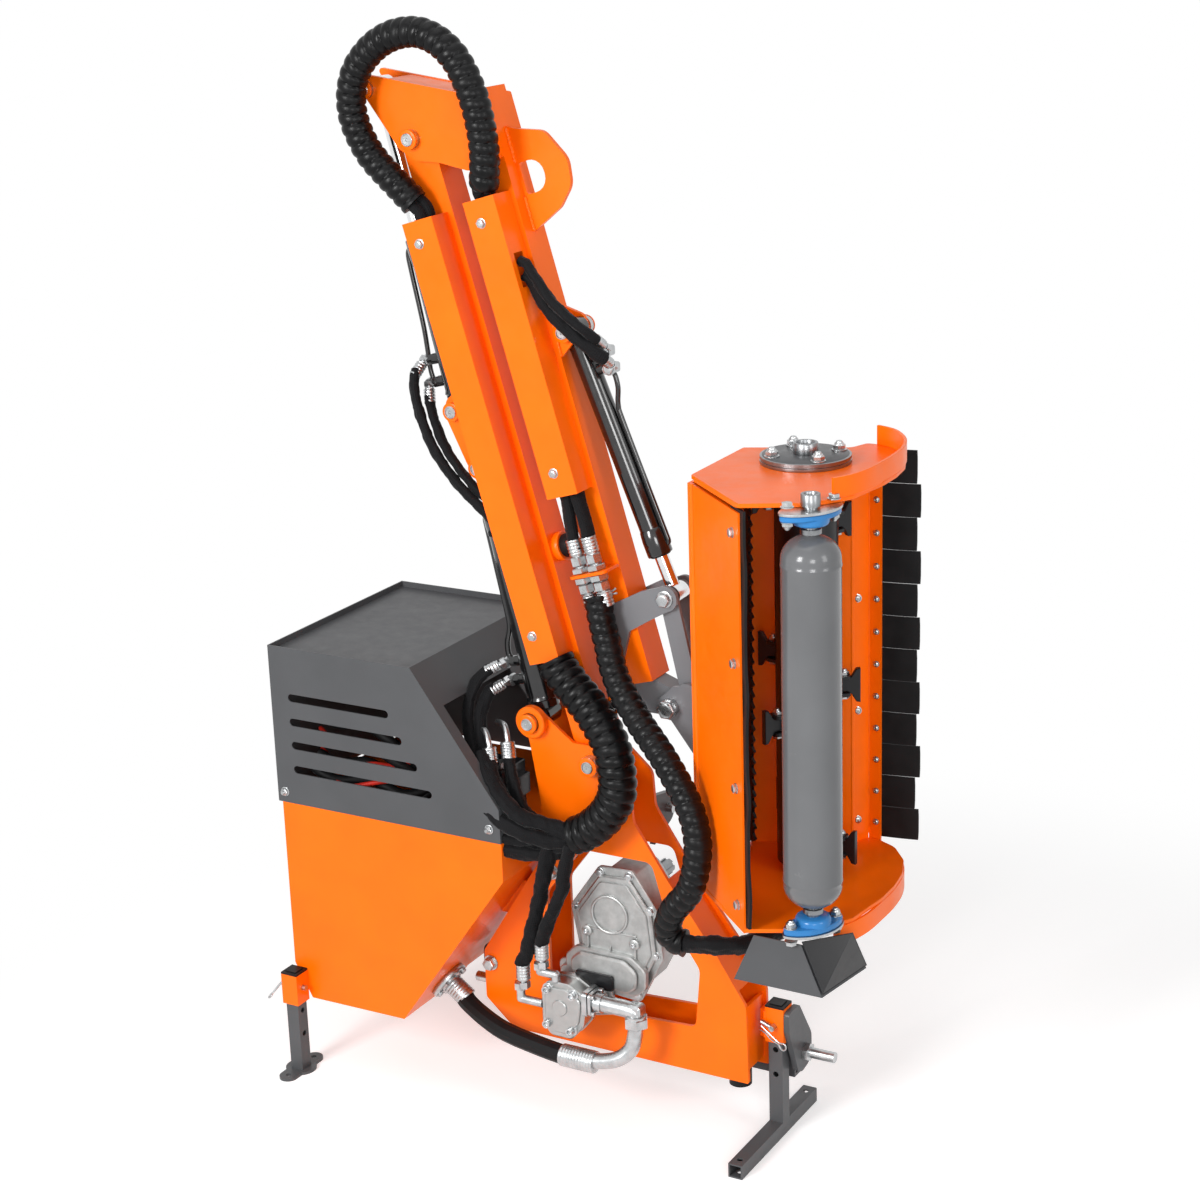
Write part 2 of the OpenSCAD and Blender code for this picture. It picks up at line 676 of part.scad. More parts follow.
// Pin held in both ears, and two stub pins for the lift cylinder's rod
module boom_pins() {
    color(zinc) on_boom() {
        at2(reach_base) {
            rod_y(ram_pin_r, -ear[1] - 5, ear[1] + 5);
            rod_y(ram_pin_r + 5, -ear[1] - 9, -ear[1] - side_gap);
            rod_y(ram_pin_r + 5, ear[1] + side_gap, ear[1] + 9);
        }
        for (side = [-1, 1]) at2(lift_eye) scale([1, side, 1]) {
            rod_y(ram_pin_r, eye_half - 1.5, ear[1] + 5);
            rod_y(ram_pin_r + 5, ear[1] + side_gap, ear[1] + 9);
        }
    }
}
stop_t = 432;
stop_r = 25;
module rubber_stop() {
    reach = fold_gap - half_tube - side_gap;
    color(black) on_boom() translate([half_tube + side_gap, 0, stop_t]) rotate([0, 90, 0]) {
        cylinder(r = stop_r, h = 15);
        translate([0, 0, 15]) cylinder(r = stop_r - 4, h = reach - half_tube - side_gap - 15);
    }
}

// ---- cylinders ----
// Barrel with base eye at the origin, along +Z
module barrel(d, length, eye_r, half) {
    difference() {
        union() {
            translate([0, 0, eye_r - 6]) cylinder(d = d, h = length - eye_r + 6);
            rod_y(eye_r, -half, half);
            translate([0, 0, length - 2]) cylinder(d = d + 4, h = 24);
        }
        rod_y(ram_pin_r + fit, -half - d, half + d);
        translate([0, 0, eye_r + 14]) cylinder(d = rod_d + 2 * fit, h = length + 30);
    }
}
// Port with its fitting, turned to one side of the barrel
module port(d, z, turn) {
    translate([0, 0, z]) rotate([90, 0, turn]) {
        translate([0, 0, d / 2 - 3]) cylinder(r = 11, h = 15);
        translate([0, 0, d / 2 + 12]) hex(20, 12);
    }
}
// Rod with its eye at the far end; the rod runs back down into the barrel
module rod(start, length, eye_r, half) {
    difference() {
        union() {
            translate([0, 0, start]) cylinder(d = rod_d, h = length - start - eye_r + 6);
            translate([0, 0, length]) rod_y(eye_r, -half, half);
        }
        translate([0, 0, length]) rod_y(ram_pin_r + fit, -half - rod_d, half + rod_d);
    }
}
eye_r = ram_pin_r + 9.5;
lift_len = norm(lift_eye - lift_base);
reach_len = norm(elbow + reach_eye - reach_base);
tilt_len = norm(tilt_eye - tilt_base);
lift_body = 405;
reach_body = 318;
reach_stroke = 190;
tilt_body = 436;
module lift_barrel() {
    color(black) on_boom() toward(lift_base, lift_eye) {
        barrel(lift_d, lift_body, eye_r, eye_half);
        for (z = lift_port_z) port(lift_d, z, -90);
    }
}
module lift_rod() {
    color(steel) on_boom() toward(lift_base, lift_eye) rod(eye_r + 20, lift_len, ram_pin_r + 8, eye_half - 2);
}
module reach_barrel() {
    color(black) on_boom() toward(reach_base, elbow + reach_eye) {
        barrel(reach_d, reach_body, eye_r, eye_half);
        for (z = [60, 105]) port(reach_d, z, -90);
    }
}
module reach_rod() {
    color(steel) on_boom() toward(reach_base, elbow + reach_eye)
        rod(eye_r + 20 + reach_stroke, reach_len, eye_r, eye_half - 2);
}
module tilt_barrel() {
    color(black) on_dipper() toward(tilt_base, tilt_eye) {
        barrel(tilt_d, tilt_body, tilt_eye_r, eye_half);
        for (z = [56, 88]) port(tilt_d, z, -90);
    }
}
tilt_eye_r = min(eye_r, 20);
module tilt_rod() {
    color(steel) on_dipper() toward(tilt_base, tilt_eye) rod(tilt_eye_r + 20, tilt_len, tilt_eye_r, eye_half - 2);
}

// ---- dipper ----
dipper_low = head_pin.y + 54;
dipper_high = 50;
pad_t = cheek_in - half_tube;
module dipper_tube() {
    color(orange) on_dipper() difference() {
        union() {
            translate([fold_gap, 0, 0]) square_tube(tube_w, tube_wall, dipper_low, dipper_high);
            // packing pads that carry the cheeks
            for (side = [-1, 1]) translate([fold_gap - half_tube, side > 0 ? half_tube : -half_tube - pad_t, -80])
                cube([tube_w, pad_t, 116]);
            // lifting eye in the middle plane
            slab(-5, 5) difference() {
                polygon(rounded([[fold_gap + half_tube - 1, -26, 1], [fold_gap + 53, -36, 10],
                    [fold_gap + 114, -55, 30], [fold_gap + 148, -117, 40], [fold_gap + 141, -166, 40],
                    [fold_gap + 105, -200, 30], [fold_gap + half_tube - 1, -230, 1]]));
                polygon(rounded([[fold_gap + half_tube + 8, -99, 6], [fold_gap + 92, -99, 28],
                    [fold_gap + 92, -160, 28], [fold_gap + half_tube + 8, -160, 6]]));
            }
            // lugs for the tilt cylinder's base
            pair(eye_half + 2, eye_half + 10)
                polygon(rounded([[fold_gap + half_tube - 1, tilt_base.y + 46, 1], [tilt_base.x + 14, tilt_base.y + 20, 16],
                    [tilt_base.x + 14, tilt_base.y - 20, 16], [fold_gap + half_tube - 1, tilt_base.y - 46, 1]]));
        }
        at2(tilt_base) rod_y(ram_pin_r + fit, -60, 60);
    }
}
module cheek_outline() {
    polygon(rounded([[-34, -10, 26], [-91, 140], [-95, 156, 6], [fold_gap - 30, 62],
        [fold_gap + half_tube, 34, 4], [fold_gap + half_tube, -84, 10], [fold_gap - 40, -88, 20], [45, -57, 30],
        [-8, -40, 26]]));
}
web_from = [-24, 114];
web_to = [fold_gap - 39, 56];
module elbow_cheeks() {
    color(orange) on_dipper() {
        difference() {
            pair(cheek_in, cheek_in + plate_t) cheek_outline();
            rod_y(main_r + fit, -90, 90);
            at2(reach_eye) rod_y(ram_pin_r + fit, -90, 90);
        }
        // closing web just under the top edge
        toward(web_from, web_to) translate([-band_t, -cheek_in - 1, 0])
            cube([band_t, 2 * cheek_in + 2, norm(web_to - web_from)]);
    }
}
dipper_cover_s = fold_gap - 10.5;
dipper_cover_t = [-721, -143];
module dipper_cover() {
    color(orange) on_dipper() difference() {
        union() {
            hose_cover(dipper_cover_s, dipper_cover_t[0], dipper_cover_t[1]);
            cover_screw(fold_gap - 17, -188);
            cover_screw(fold_gap - 15, -674);
        }
        // slot where the tilt hoses leave
        translate([dipper_cover_s + cover_w / 2 - 5, -half_tube - cover_depth + 14, dipper_cover_t[1] - 180])
            cube([10, cover_depth - 26, 66]);
    }
}
// Casting at the dipper's lower end with the bosses for the head pin and the link pin
module dipper_end() {
    color(grey) on_dipper() difference() {
        slab(-eye_half, eye_half) {
            polygon(rounded([[fold_gap - half_tube, dipper_low - side_gap], [link_pin.x - 20, link_pin.y + 8, 10],
                [link_pin.x - 4, link_pin.y - 22, 14], [head_pin.x - 6, head_pin.y - 26, 14],
                [head_pin.x + 26, head_pin.y - 6, 16], [head_pin.x + 18, head_pin.y + 18, 10],
                [fold_gap + half_tube - 2, dipper_low - side_gap]]));
        }
        at2(head_pin) rod_y(main_r + fit, -60, 60);
        at2(link_pin) rod_y(ram_pin_r + fit, -60, 60);
    }
}
bulkhead_t = -882;
fitting_y = -68;
module hose_bulkhead() {
    color(zinc) on_dipper() translate([fold_gap, 0, bulkhead_t]) {
        difference() {
            translate([-50, -92, 0]) cube([85, 57 - side_gap, 6]);
            for (s = [-30, 5]) translate([s, fitting_y, -1]) cylinder(r = 11 + fit, h = 8);
        }
        for (s = [-30, 5]) translate([s, fitting_y, 0]) {
            translate([0, 0, -34]) cylinder(r = 11, h = 78);
            translate([0, 0, 6 + side_gap]) hex(34, 12);
            translate([0, 0, -14 - side_gap]) hex(34, 14);
            translate([0, 0, 22]) hex(30, 20);
            translate([0, 0, -40]) hex(30, 20);
        }
    }
}
// Elbow pin, stub pins for the dipper cylinder's rod, tilt base pin, head pin and link pin
module dipper_pins() {
    cheek_out = cheek_in + plate_t;
    color(zinc) on_dipper() {
        collared(main_r, cheek_out);
        for (side = [-1, 1]) at2(reach_eye) scale([1, side, 1]) {
            rod_y(ram_pin_r, eye_half - 1.5, cheek_out + 5);
            rod_y(ram_pin_r + 5, cheek_out + side_gap, cheek_out + 9);
        }
        at2(tilt_base) collared(ram_pin_r, eye_half + 10);
        at2(head_pin) collared(main_r, outer_link[1]);
        at2(link_pin) collared(ram_pin_r, outer_link[1]);
    }
}
// Pin with a collar outside each face
module collared(r, face) {
    rod_y(r, -face - 6, face + 6);
    rod_y(r + 6, -face - 12, -face - side_gap);
    rod_y(r + 6, face + side_gap, face + 12);
}

// ---- links between tilt cylinder, dipper and head ----
link_knee = link_pin + [-10, 108];
module link_outer() {
    color(grey) on_dipper() {
        difference() {
            pair(outer_link[0], outer_link[1]) difference() {
                union() {
                    translate(link_pin) circle(r = 24);
                    translate(tilt_eye) circle(r = 25);
                    polygon(rounded([link_pin + [-24, 0], link_pin + [-21, 77], link_pin + [-10, 112, 0],
                        link_pin + [36, 190, 24], link_pin + [116, 207, 20], tilt_eye + [8, 24],
                        tilt_eye + [0, -25], link_pin + [128, 151], link_pin + [66, 134, 30],
                        link_pin + [22, 60, 30], link_pin + [24, 0]]));
                }
                translate(link_pin) circle(r = ram_pin_r + fit);
                translate(tilt_eye) circle(r = ram_pin_r + fit);
            }
        }
        // stub pins that hold the inner links and stop short of the rod's eye
        for (side = [-1, 1]) at2(tilt_eye) scale([1, side, 1]) rod_y(ram_pin_r, eye_half - 1.5, outer_link[1] + 8);
    }
}
module link_inner() {
    run = norm(bracket_pin - tilt_eye);
    color(grey) on_dipper() toward(bracket_pin, tilt_eye) difference() {
        pair(inner_link[0], inner_link[1]) difference() {
            union() {
                circle(r = link_r);
                translate([0, run]) circle(r = link_r);
                translate([-link_r, 0]) square([2 * link_r, run]);
            }
            translate([0, run]) circle(r = ram_pin_r + fit);
            circle(r = bracket_hole_r);
        }
    }
}
link_r = 19;
bracket_hole_r = ram_pin_r - 2.5;

// ---- head ----
hood_x = -154;
bracket_at = pin_to_rotor + hood_x - head_t - side_gap;
bracket_off = [cos(lean) * 42 - sin(lean) * 17, sin(lean) * 42 + cos(lean) * 17];
module head_bracket() {
    color(grey) on_pivot() {
        pair(outer_link[0], outer_link[1]) difference() {
            union() {
                circle(r = 27);
                translate(bracket_off) circle(r = 24);
                polygon(rounded([[-12, 24], [4, 42, 10], [bracket_at, 52, 4], [bracket_at, -130, 4], [56, -100, 20],
                    [0, -27]]));
            }
            circle(r = main_r + fit);
        }
        // foot plate on the hood
        translate([bracket_at - 8, -outer_link[0], -150]) cube([8, 2 * outer_link[0], 96]);
    }
}
end_outline = [[-152, -167, 8], [-156, 55, 8], [33, 132, 20], [47, 174, 10], [72, 174, 20], [117, 152, 30],
    [158, 100, 30], [180, 42, 30], [189, -18, 30], [190, -78, 30], [177, -188, 30], [129, -263, 16],
    [17, -317, 6]];
skid_line = [[160, -223], [177, -188], [188, -138], [190, -78], [189, -18], [180, 42], [158, 100], [117, 152],
    [72, 174]];
// Strip of sheet along a line of points
module strip(pts, t) {
    for (i = [0 : len(pts) - 2]) {
        d = unit(pts[i + 1] - pts[i]);
        n = t * [d.y, -d.x];
        polygon([pts[i], pts[i + 1], pts[i + 1] - n, pts[i] - n]);
    }
    for (i = [1 : len(pts) - 2]) translate(pts[i]) intersection() {
        circle(r = t);
        rotate(atan2(pts[i].y, pts[i].x) + 135) square(2 * t);
    }
}
module head_ends() {
    color(orange) on_head() for (side = [-1, 1]) scale([1, 1, side]) {
        difference() {
            translate([0, 0, half_len - head_t]) linear_extrude(head_t) polygon(rounded(end_outline));
            translate([0, 0, half_len - head_t - 1]) cylinder(r = 42, h = head_t + 2);
            for (a = [45 : 90 : 315]) rotate([0, 0, a])
                translate([66, 0, half_len - head_t - 1]) cylinder(r = 6 + fit, h = head_t + 2);
            translate([roller_at.x, roller_at.y, half_len - head_t - 1])
                cylinder(r = roller_shaft_r + 1.5, h = head_t + 2);
        }
        translate([0, 0, half_len]) linear_extrude(skid_w) strip(skid_line, 6);
    }
}
module panel(a, b, t, low, high) {
    d = unit(b - a);
    n = t * [-d.y, d.x];
    translate([0, 0, low]) linear_extrude(high - low) polygon([a, b, b + n, a + n]);
}
front_edge = [76, 176];
module head_hood() {
    inner = half_len - head_t - side_gap;
    color(orange) on_head() {
        panel([-154, -163], [-158 + 4, 50], head_t, -inner, inner);
        panel([-146, -172], [17, -317], head_t / 2, -inner, inner);
        panel([-152, 58], [33, 134], 5, -inner, inner);
        panel([35, 138], [50, 176], 5, -inner, inner);
        panel([51, 176], front_edge, 5, -inner, inner);
    }
}
module flange_bearing() {
    color(steel) on_head() {
        for (side = [-1, 1]) scale([1, 1, side]) translate([0, 0, half_len + side_gap]) difference() {
            union() {
                cylinder(r = side > 0 ? 85 : 70, h = 14);
                cylinder(r = 36, h = 24);
            }
            translate([0, 0, -1]) cylinder(r = shaft_r + fit, h = 40);
        }
        for (side = [-1, 1], a = [45 : 90 : 315]) scale([1, 1, side]) rotate([0, 0, a])
            translate([66, 0, half_len - head_t - 8]) {
                cylinder(r = 6, h = head_t + 38);
                hex(18, 8 - side_gap);
                translate([0, 0, head_t + 22 + 2 * side_gap]) hex(18, 9);
            }
    }
}
shaft_r = 17.5;
// Tube with shaft ends, and Y blades bolted to lugs along a helix
module rotor() {
    inner = half_len - head_t - 14;
    pitch = 2 * (inner - 40) / (stations - 1);
    color(black) on_head() {
        cylinder(r = drum_r, h = 2 * inner, center = true);
        cylinder(r = shaft_r, h = 2 * half_len + 60, center = true);
        for (i = [0 : stations - 1])
            rotate([0, 0, i * 150]) translate([0, 0, i * pitch - inner + 40]) {
                translate([drum_r - 3, -6, -20]) cube([24, 12, 40]);
                translate([drum_r + 12, 0, 0]) rotate([90, 0, 0]) cylinder(r = 6, h = 40, center = true);
                for (side = [-1, 1]) scale([1, side, 1])
                    translate([0, 6 + side_gap, 0]) linear_extrude(38, center = true)
                        polygon([[drum_r + 6, 0], [swing_r - 24, 0], [swing_r - 6, 14], [swing_r - 10, 17],
                            [swing_r - 27, 5], [drum_r + 6, 5]]);
            }
    }
}
roller_half = 353;
roller_shaft_r = 12.5;
module roller() {
    color(grey) on_head() translate([roller_at.x, roller_at.y, 0]) {
        cylinder(r = roller_r, h = 2 * (roller_half - roller_r), center = true);
        for (side = [-1, 1]) translate([0, 0, side * (roller_half - roller_r)]) sphere(r = roller_r);
        translate([0, 0, -half_len]) cylinder(r = roller_shaft_r, h = 2 * half_len + 18);
    }
}
bearing_turn = 60;
module oval(r, reach, end_r) {
    circle(r = r);
    for (side = [-1, 1]) translate([side * reach, 0]) circle(r = end_r);
    polygon([[-reach, end_r], [0, r], [reach, end_r], [reach, -end_r], [0, -r], [-reach, -end_r]]);
}
module roller_bearings() {
    seat = half_len - head_t - side_gap;
    color(blue) on_head() translate([roller_at.x, roller_at.y, 0]) for (side = [-1, 1])
        scale([1, 1, side]) translate([0, 0, seat - 22]) rotate([0, 0, bearing_turn]) difference() {
            union() {
                translate([0, 0, 8]) linear_extrude(14) oval(34, 49.5, 14);
                cylinder(r = 30, h = 10);
            }
            translate([0, 0, -1]) cylinder(r = roller_shaft_r + fit, h = 40);
        }
}
module head_motor() {
    low = half_len + side_gap + 24 + side_gap;
    color(black) on_head() scale([1, 1, -1]) {
        difference() {
            translate([0, 0, low]) cylinder(r = 46, h = 96);
            translate([0, 0, low - 1]) cylinder(r = shaft_r + 1, h = 20);
        }
        translate([30, -22, low + 40]) cube([32, 44, 30]);
    }
}
guard_h = 93;
// Flat sheet between four corners, given in turn
module sheet4(a, b, c, d, t) {
    n = t * unit(cross(b - a, d - a));
    polyhedron([a, b, c, d, a + n, b + n, c + n, d + n],
        [[0, 1, 2], [0, 2, 3], [6, 5, 4], [7, 6, 4], [1, 0, 4, 5], [2, 1, 5, 6], [3, 2, 6, 7], [0, 3, 7, 4]]);
}
module motor_guard() {
    low = -half_len - side_gap;
    base = low - guard_h;
    color(dark) on_head() {
        sheet4([28, -300, low], [124, -300, low], [169, -308, base], [-10, -308, base], sheet_t);
        sheet4([124, -300, low], [192, -224, low], [192, -160, base], [169, -308, base], sheet_t);
    }
}
module curtain() {
    corner_f = [17, -317];
    e = unit(corner_f - [-146, -172]);
    seat = (head_t / 2 + side_gap) * [-e.y, e.x];
    color(black) on_head() panel(corner_f + seat - 45 * e, corner_f + seat + 14 * e, 5, -half_len + head_t + 2,
        half_len - head_t - 2);
}
module front_flaps() {
    pitch = (head_len - 20) / flaps;
    color(black) on_head() for (i = [0 : flaps - 1]) {
        translate([0, 0, -half_len + 10 + i * pitch + side_gap])
            panel(front_edge + [-20, 5.4], front_edge + [74 - (i % 2) * 6, 22], 3, 0, pitch - 2 * side_gap);
    }
}

// ---- hoses that cross the joints ----
elbow_r = 26;
base_r = 33;
head_r = 24.5;
elbow_route = [[-12, -64, 1111.4], [-12, -64, 1126], [-45, -76, 1190], [-80, -84, 1262], [-87, -88, 1342],
    [-50, -90, 1409], [25, -88, 1446], [106, -86, 1438], [160, -84, 1386], [180, -82, 1305], [174, -80, 1216],
    [152, -76, 1152], [134.5, -64, 1132], [134.5, -64, 1117.4]];
base_route = [[-12, -70, 226.6], [-12, -70, 214], [2, -73, 196], [40, -78, 176], [78, -88, 112], [90, -96, 35], [75, -100, -44],
    [37, -105, -90], [-19, -110, -117], [-77, -115, -122], [-120, -116, -108]];
head_route = [[-333.8, -88, 1116.6], [-329.3, -89, 1101], [-322, -94, 1076], [-308, -99, 1031], [-280, -114, 962], [-222, -138, 896],
    [-148, -172, 838], [-83, -200, 764], [-59, -215, 694], [-73, -220, 611], [-117, -215, 550], [-132, -205, 502],
    [-105, -198, 481], [-51, -190, 484], [4, -150, 480], [40, -60, 480]];
module elbow_hose() {
    color(black) on_boom() translate([0, 0, boom_len - 1260]) hose(elbow_route, elbow_r);
}
module base_hose() {
    color(black) on_boom() hose(base_route, base_r);
}
module head_hose() {
    color(black) hose(head_route, head_r);
}
module tilt_hoses() {
    color(black) on_boom() {
        hose([[168, -62, 985], [176, -62, 983], [190, -62, 950], [206, -62, 910], [246, -58, 862], [282, -46, 826], [290, -14, 796],
            [262, 0, 781]], 7, 3, 8);
        hose([[168, -60, 960], [175, -60, 957], [184, -58, 930], [210, -52, 884], [258, -44, 830], [300, -40, 786], [306, -16, 754],
            [263, 0, 748]], 7, 3, 8);
    }
}
// Short hoses from the dipper's cover to the bulkhead fittings
module bulkhead_hoses() {
    low = bulkhead_t + 44 + side_gap;
    high = dipper_cover_t[0] + 5;
    color(black) on_dipper() for (way = [[fold_gap - 30, fold_gap - 23], [fold_gap + 5, fold_gap + 4]])
        hose([[way[1], -61, high], [way[1], -62, high - 18], [way[0] + 2, fitting_y + 2, low + 48],
            [way[0], fitting_y, low + 16], [way[0], fitting_y, low]], 12);
}
module reach_hoses() {
    color(black) on_boom() {
        hose([[-141.5, 0, 847], [-150, -2, 847], [-162, -20, 838], [-166, -40, 800], [-163, -48, 740], [-150, -52, 670],
            [-118, -54, 600], [-58, -58, 515]], 8, 3, 8);
        hose([[-146, 0, 802], [-152, -3, 801], [-154, -14, 786], [-148, -28, 750], [-136, -40, 690], [-112, -46, 630],
            [-84, -46, 580], [-57, -46, 552]], 8, 3, 8);
    }
}

rear_plate();
front_plate();
edge_bands();
frame_pins();
headstock();
hitch_pins();
oil_tank();
tank_cover();
suction_flange();
suction_hose();
suction_pipe();
gearbox();
pump_adapter();
gear_pump();
pump_elbows();
pump_hoses();
lift_hoses();
leg_sockets();
socket_caps();
right_leg();
foot_leg();
pivot_cap();
input_shaft();
right_lock_pin();
left_lock_pin();
boom_tube();
boom_cover();
boom_pins();
rubber_stop();
base_hose();
reach_hoses();
lift_barrel();
lift_rod();
dipper_tube();
elbow_cheeks();
dipper_cover();
dipper_end();
hose_bulkhead();
dipper_pins();
elbow_hose();
tilt_hoses();
reach_barrel();
reach_rod();
tilt_barrel();
tilt_rod();
link_outer();
link_inner();
head_bracket();
head_hood();
head_ends();
flange_bearing();
head_motor();
motor_guard();
curtain();
front_flaps();
roller_bearings();
rotor();
roller();
head_hose();
bulkhead_hoses();
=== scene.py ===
import json
import math

import bpy
from mathutils import Matrix, Vector, noise


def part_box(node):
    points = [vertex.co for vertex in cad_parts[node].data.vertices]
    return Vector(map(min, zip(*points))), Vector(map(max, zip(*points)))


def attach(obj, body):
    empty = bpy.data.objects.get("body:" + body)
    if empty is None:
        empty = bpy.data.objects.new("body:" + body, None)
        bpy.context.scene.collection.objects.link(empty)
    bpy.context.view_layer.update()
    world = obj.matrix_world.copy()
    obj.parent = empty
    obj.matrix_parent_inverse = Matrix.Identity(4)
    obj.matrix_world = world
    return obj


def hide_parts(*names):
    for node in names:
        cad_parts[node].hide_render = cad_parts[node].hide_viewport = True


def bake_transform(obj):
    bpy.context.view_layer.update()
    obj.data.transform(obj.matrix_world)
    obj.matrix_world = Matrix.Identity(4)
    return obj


# Hydraulic arm mower on its parking legs. Lengths in the code are millimetres
# and become metres where a mesh is made.
MM = 0.001

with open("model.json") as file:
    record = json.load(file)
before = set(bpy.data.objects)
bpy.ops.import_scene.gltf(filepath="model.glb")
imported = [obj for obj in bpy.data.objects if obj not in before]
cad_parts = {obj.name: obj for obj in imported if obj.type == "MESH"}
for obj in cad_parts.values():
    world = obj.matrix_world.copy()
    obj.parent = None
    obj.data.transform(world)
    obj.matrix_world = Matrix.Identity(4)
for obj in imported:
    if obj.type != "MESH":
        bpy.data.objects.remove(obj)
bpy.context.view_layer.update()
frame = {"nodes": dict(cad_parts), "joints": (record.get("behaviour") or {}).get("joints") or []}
joints = {j["name"]: j for j in frame["joints"]}


def joint_at(name):
    return Vector(joints[name]["pos_m"]) / MM


ROOT = joint_at("boom_swing")
ELBOW = joint_at("arm_fold")
HEAD_PIN = joint_at("head_turn")
ARM_Y = -20.0
ROOT.y = ELBOW.y = HEAD_PIN.y = ARM_Y
UP = (ELBOW - ROOT).normalized()          # along the boom
OUT = Vector((UP.z, 0, -UP.x))            # across the boom, to the head's side
BOOM_LEN = (ELBOW - ROOT).length
ROTOR = joint_at("rotor_spin")
HEAD_MID = Vector((ROTOR.x, ROTOR.y, sum(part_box("roller")[i][2] for i in (0, 1)) / 2 / MM))


def arm(s, y, t):
    """A point given across, sideways and along the boom, from its root pin."""
    return ROOT + OUT * s + Vector((0, y, 0)) + UP * t


ARM = Matrix((
    (OUT.x, 0, UP.x, ROOT.x),
    (OUT.y, 1, UP.y, ROOT.y),
    (OUT.z, 0, UP.z, ROOT.z),
    (0, 0, 0, 1),
))


# ---- colour and materials ----

def linear(code):
    """sRGB hex to linear RGBA."""
    out = []
    for i in (1, 3, 5):
        c = int(code[i:i + 2], 16) / 255
        out.append(c / 12.92 if c <= 0.04045 else ((c + 0.055) / 1.055) ** 2.4)
    return (*out, 1.0)


def put(tree, kind, settings=None, **links):
    """Adds a node with its settings and links.

    Settings are attributes, values of sockets or the stops of a colour ramp. Links are sockets, or nodes
    whose first output is meant.
    """
    node = tree.nodes.new(kind)
    for key, value in (settings or {}).items():
        if key == "stops":
            for element, (position, colour) in zip(node.color_ramp.elements, value):
                element.position, element.color = position, colour
        elif isinstance(key, str) and hasattr(node, key):
            setattr(node, key, value)
        else:
            node.inputs[key].default_value = value
    for key, source in links.items():
        key = int(key[1:]) if key[0] == "i" and key[1:].isdigit() else key.replace("_", " ")
        tree.links.new(source.outputs[0] if isinstance(source, bpy.types.Node) else source, node.inputs[key])
    return node


def new_material(name):
    mat = bpy.data.materials.new(name)
    mat.use_nodes = True
    mat.node_tree.nodes.clear()
    return mat, mat.node_tree


def tone(code, factor):
    r, g, b, a = linear(code)
    return (r * factor, g * factor, b * factor, a)


def every(size_mm):
    """Scale of a pattern that repeats about every size_mm."""
    return 1 / (size_mm * MM)


def powder_coat(name, code, gloss=0.3, coat=0.25, peel=1.4, spread=0.06):
    """Polyester powder coat on steel: even colour, faint orange peel, soft gloss."""
    mat, tree = new_material(name)
    place = put(tree, "ShaderNodeTexCoord").outputs["Object"]
    # cloudy change of shade over about 120 mm, from the spray gun's passes
    cloud = put(tree, "ShaderNodeTexNoise", {"Scale": every(120), "Detail": 3.0}, Vector=place)
    colour = put(tree, "ShaderNodeValToRGB",
                 {"stops": ((0.3, tone(code, 1 - spread)), (0.7, tone(code, 1 + spread)))}, Fac=cloud)
    # handling marks, a few tens of millimetres across, change only the gloss
    marks = put(tree, "ShaderNodeTexNoise", {"Scale": every(30), "Detail": 6.0, "Roughness": 0.65},
                Vector=place)
    rough = put(tree, "ShaderNodeMapRange", {"From Min": 0.3, "From Max": 0.75, "To Min": gloss - 0.05,
                                             "To Max": gloss + 0.1}, Value=marks)
    # orange peel, drawn a little coarser than the real 1 mm so that it shows
    skin = put(tree, "ShaderNodeTexNoise", {"Scale": every(peel * 2), "Detail": 1.0}, Vector=place)
    bump = put(tree, "ShaderNodeBump", {"Strength": 0.07, "Distance": 0.25 * MM}, Height=skin)
    shader = put(tree, "ShaderNodeBsdfPrincipled",
                 {"Coat Weight": coat, "Coat Roughness": 0.14, "Specular IOR Level": 0.2},
                 Base_Color=colour, Roughness=rough, Normal=bump)
    put(tree, "ShaderNodeOutputMaterial", None, Surface=shader)
    return mat


def enamel(name, code, gloss=0.16):
    """Wet-sprayed gloss enamel on a cylinder barrel: deep, smooth, sharp highlights."""
    mat, tree = new_material(name)
    place = put(tree, "ShaderNodeTexCoord").outputs["Object"]
    dust = put(tree, "ShaderNodeTexNoise", {"Scale": every(22), "Detail": 5.0}, Vector=place)
    colour = put(tree, "ShaderNodeValToRGB", {"stops": ((0.35, tone(code, 0.8)), (0.75, tone(code, 1.3)))},
                 Fac=dust)
    rough = put(tree, "ShaderNodeMapRange", {"From Min": 0.35, "From Max": 0.8, "To Min": gloss,
                                             "To Max": gloss + 0.12}, Value=dust)
    # slow flow of the wet film
    flow = put(tree, "ShaderNodeTexNoise", {"Scale": every(9), "Detail": 1.0}, Vector=place)
    bump = put(tree, "ShaderNodeBump", {"Strength": 0.08, "Distance": 0.3 * MM}, Height=flow)
    shader = put(tree, "ShaderNodeBsdfPrincipled", {"Coat Weight": 0.6, "Coat Roughness": 0.06},
                 Base_Color=colour, Roughness=rough, Normal=bump)
    put(tree, "ShaderNodeOutputMaterial", None, Surface=shader)
    return mat


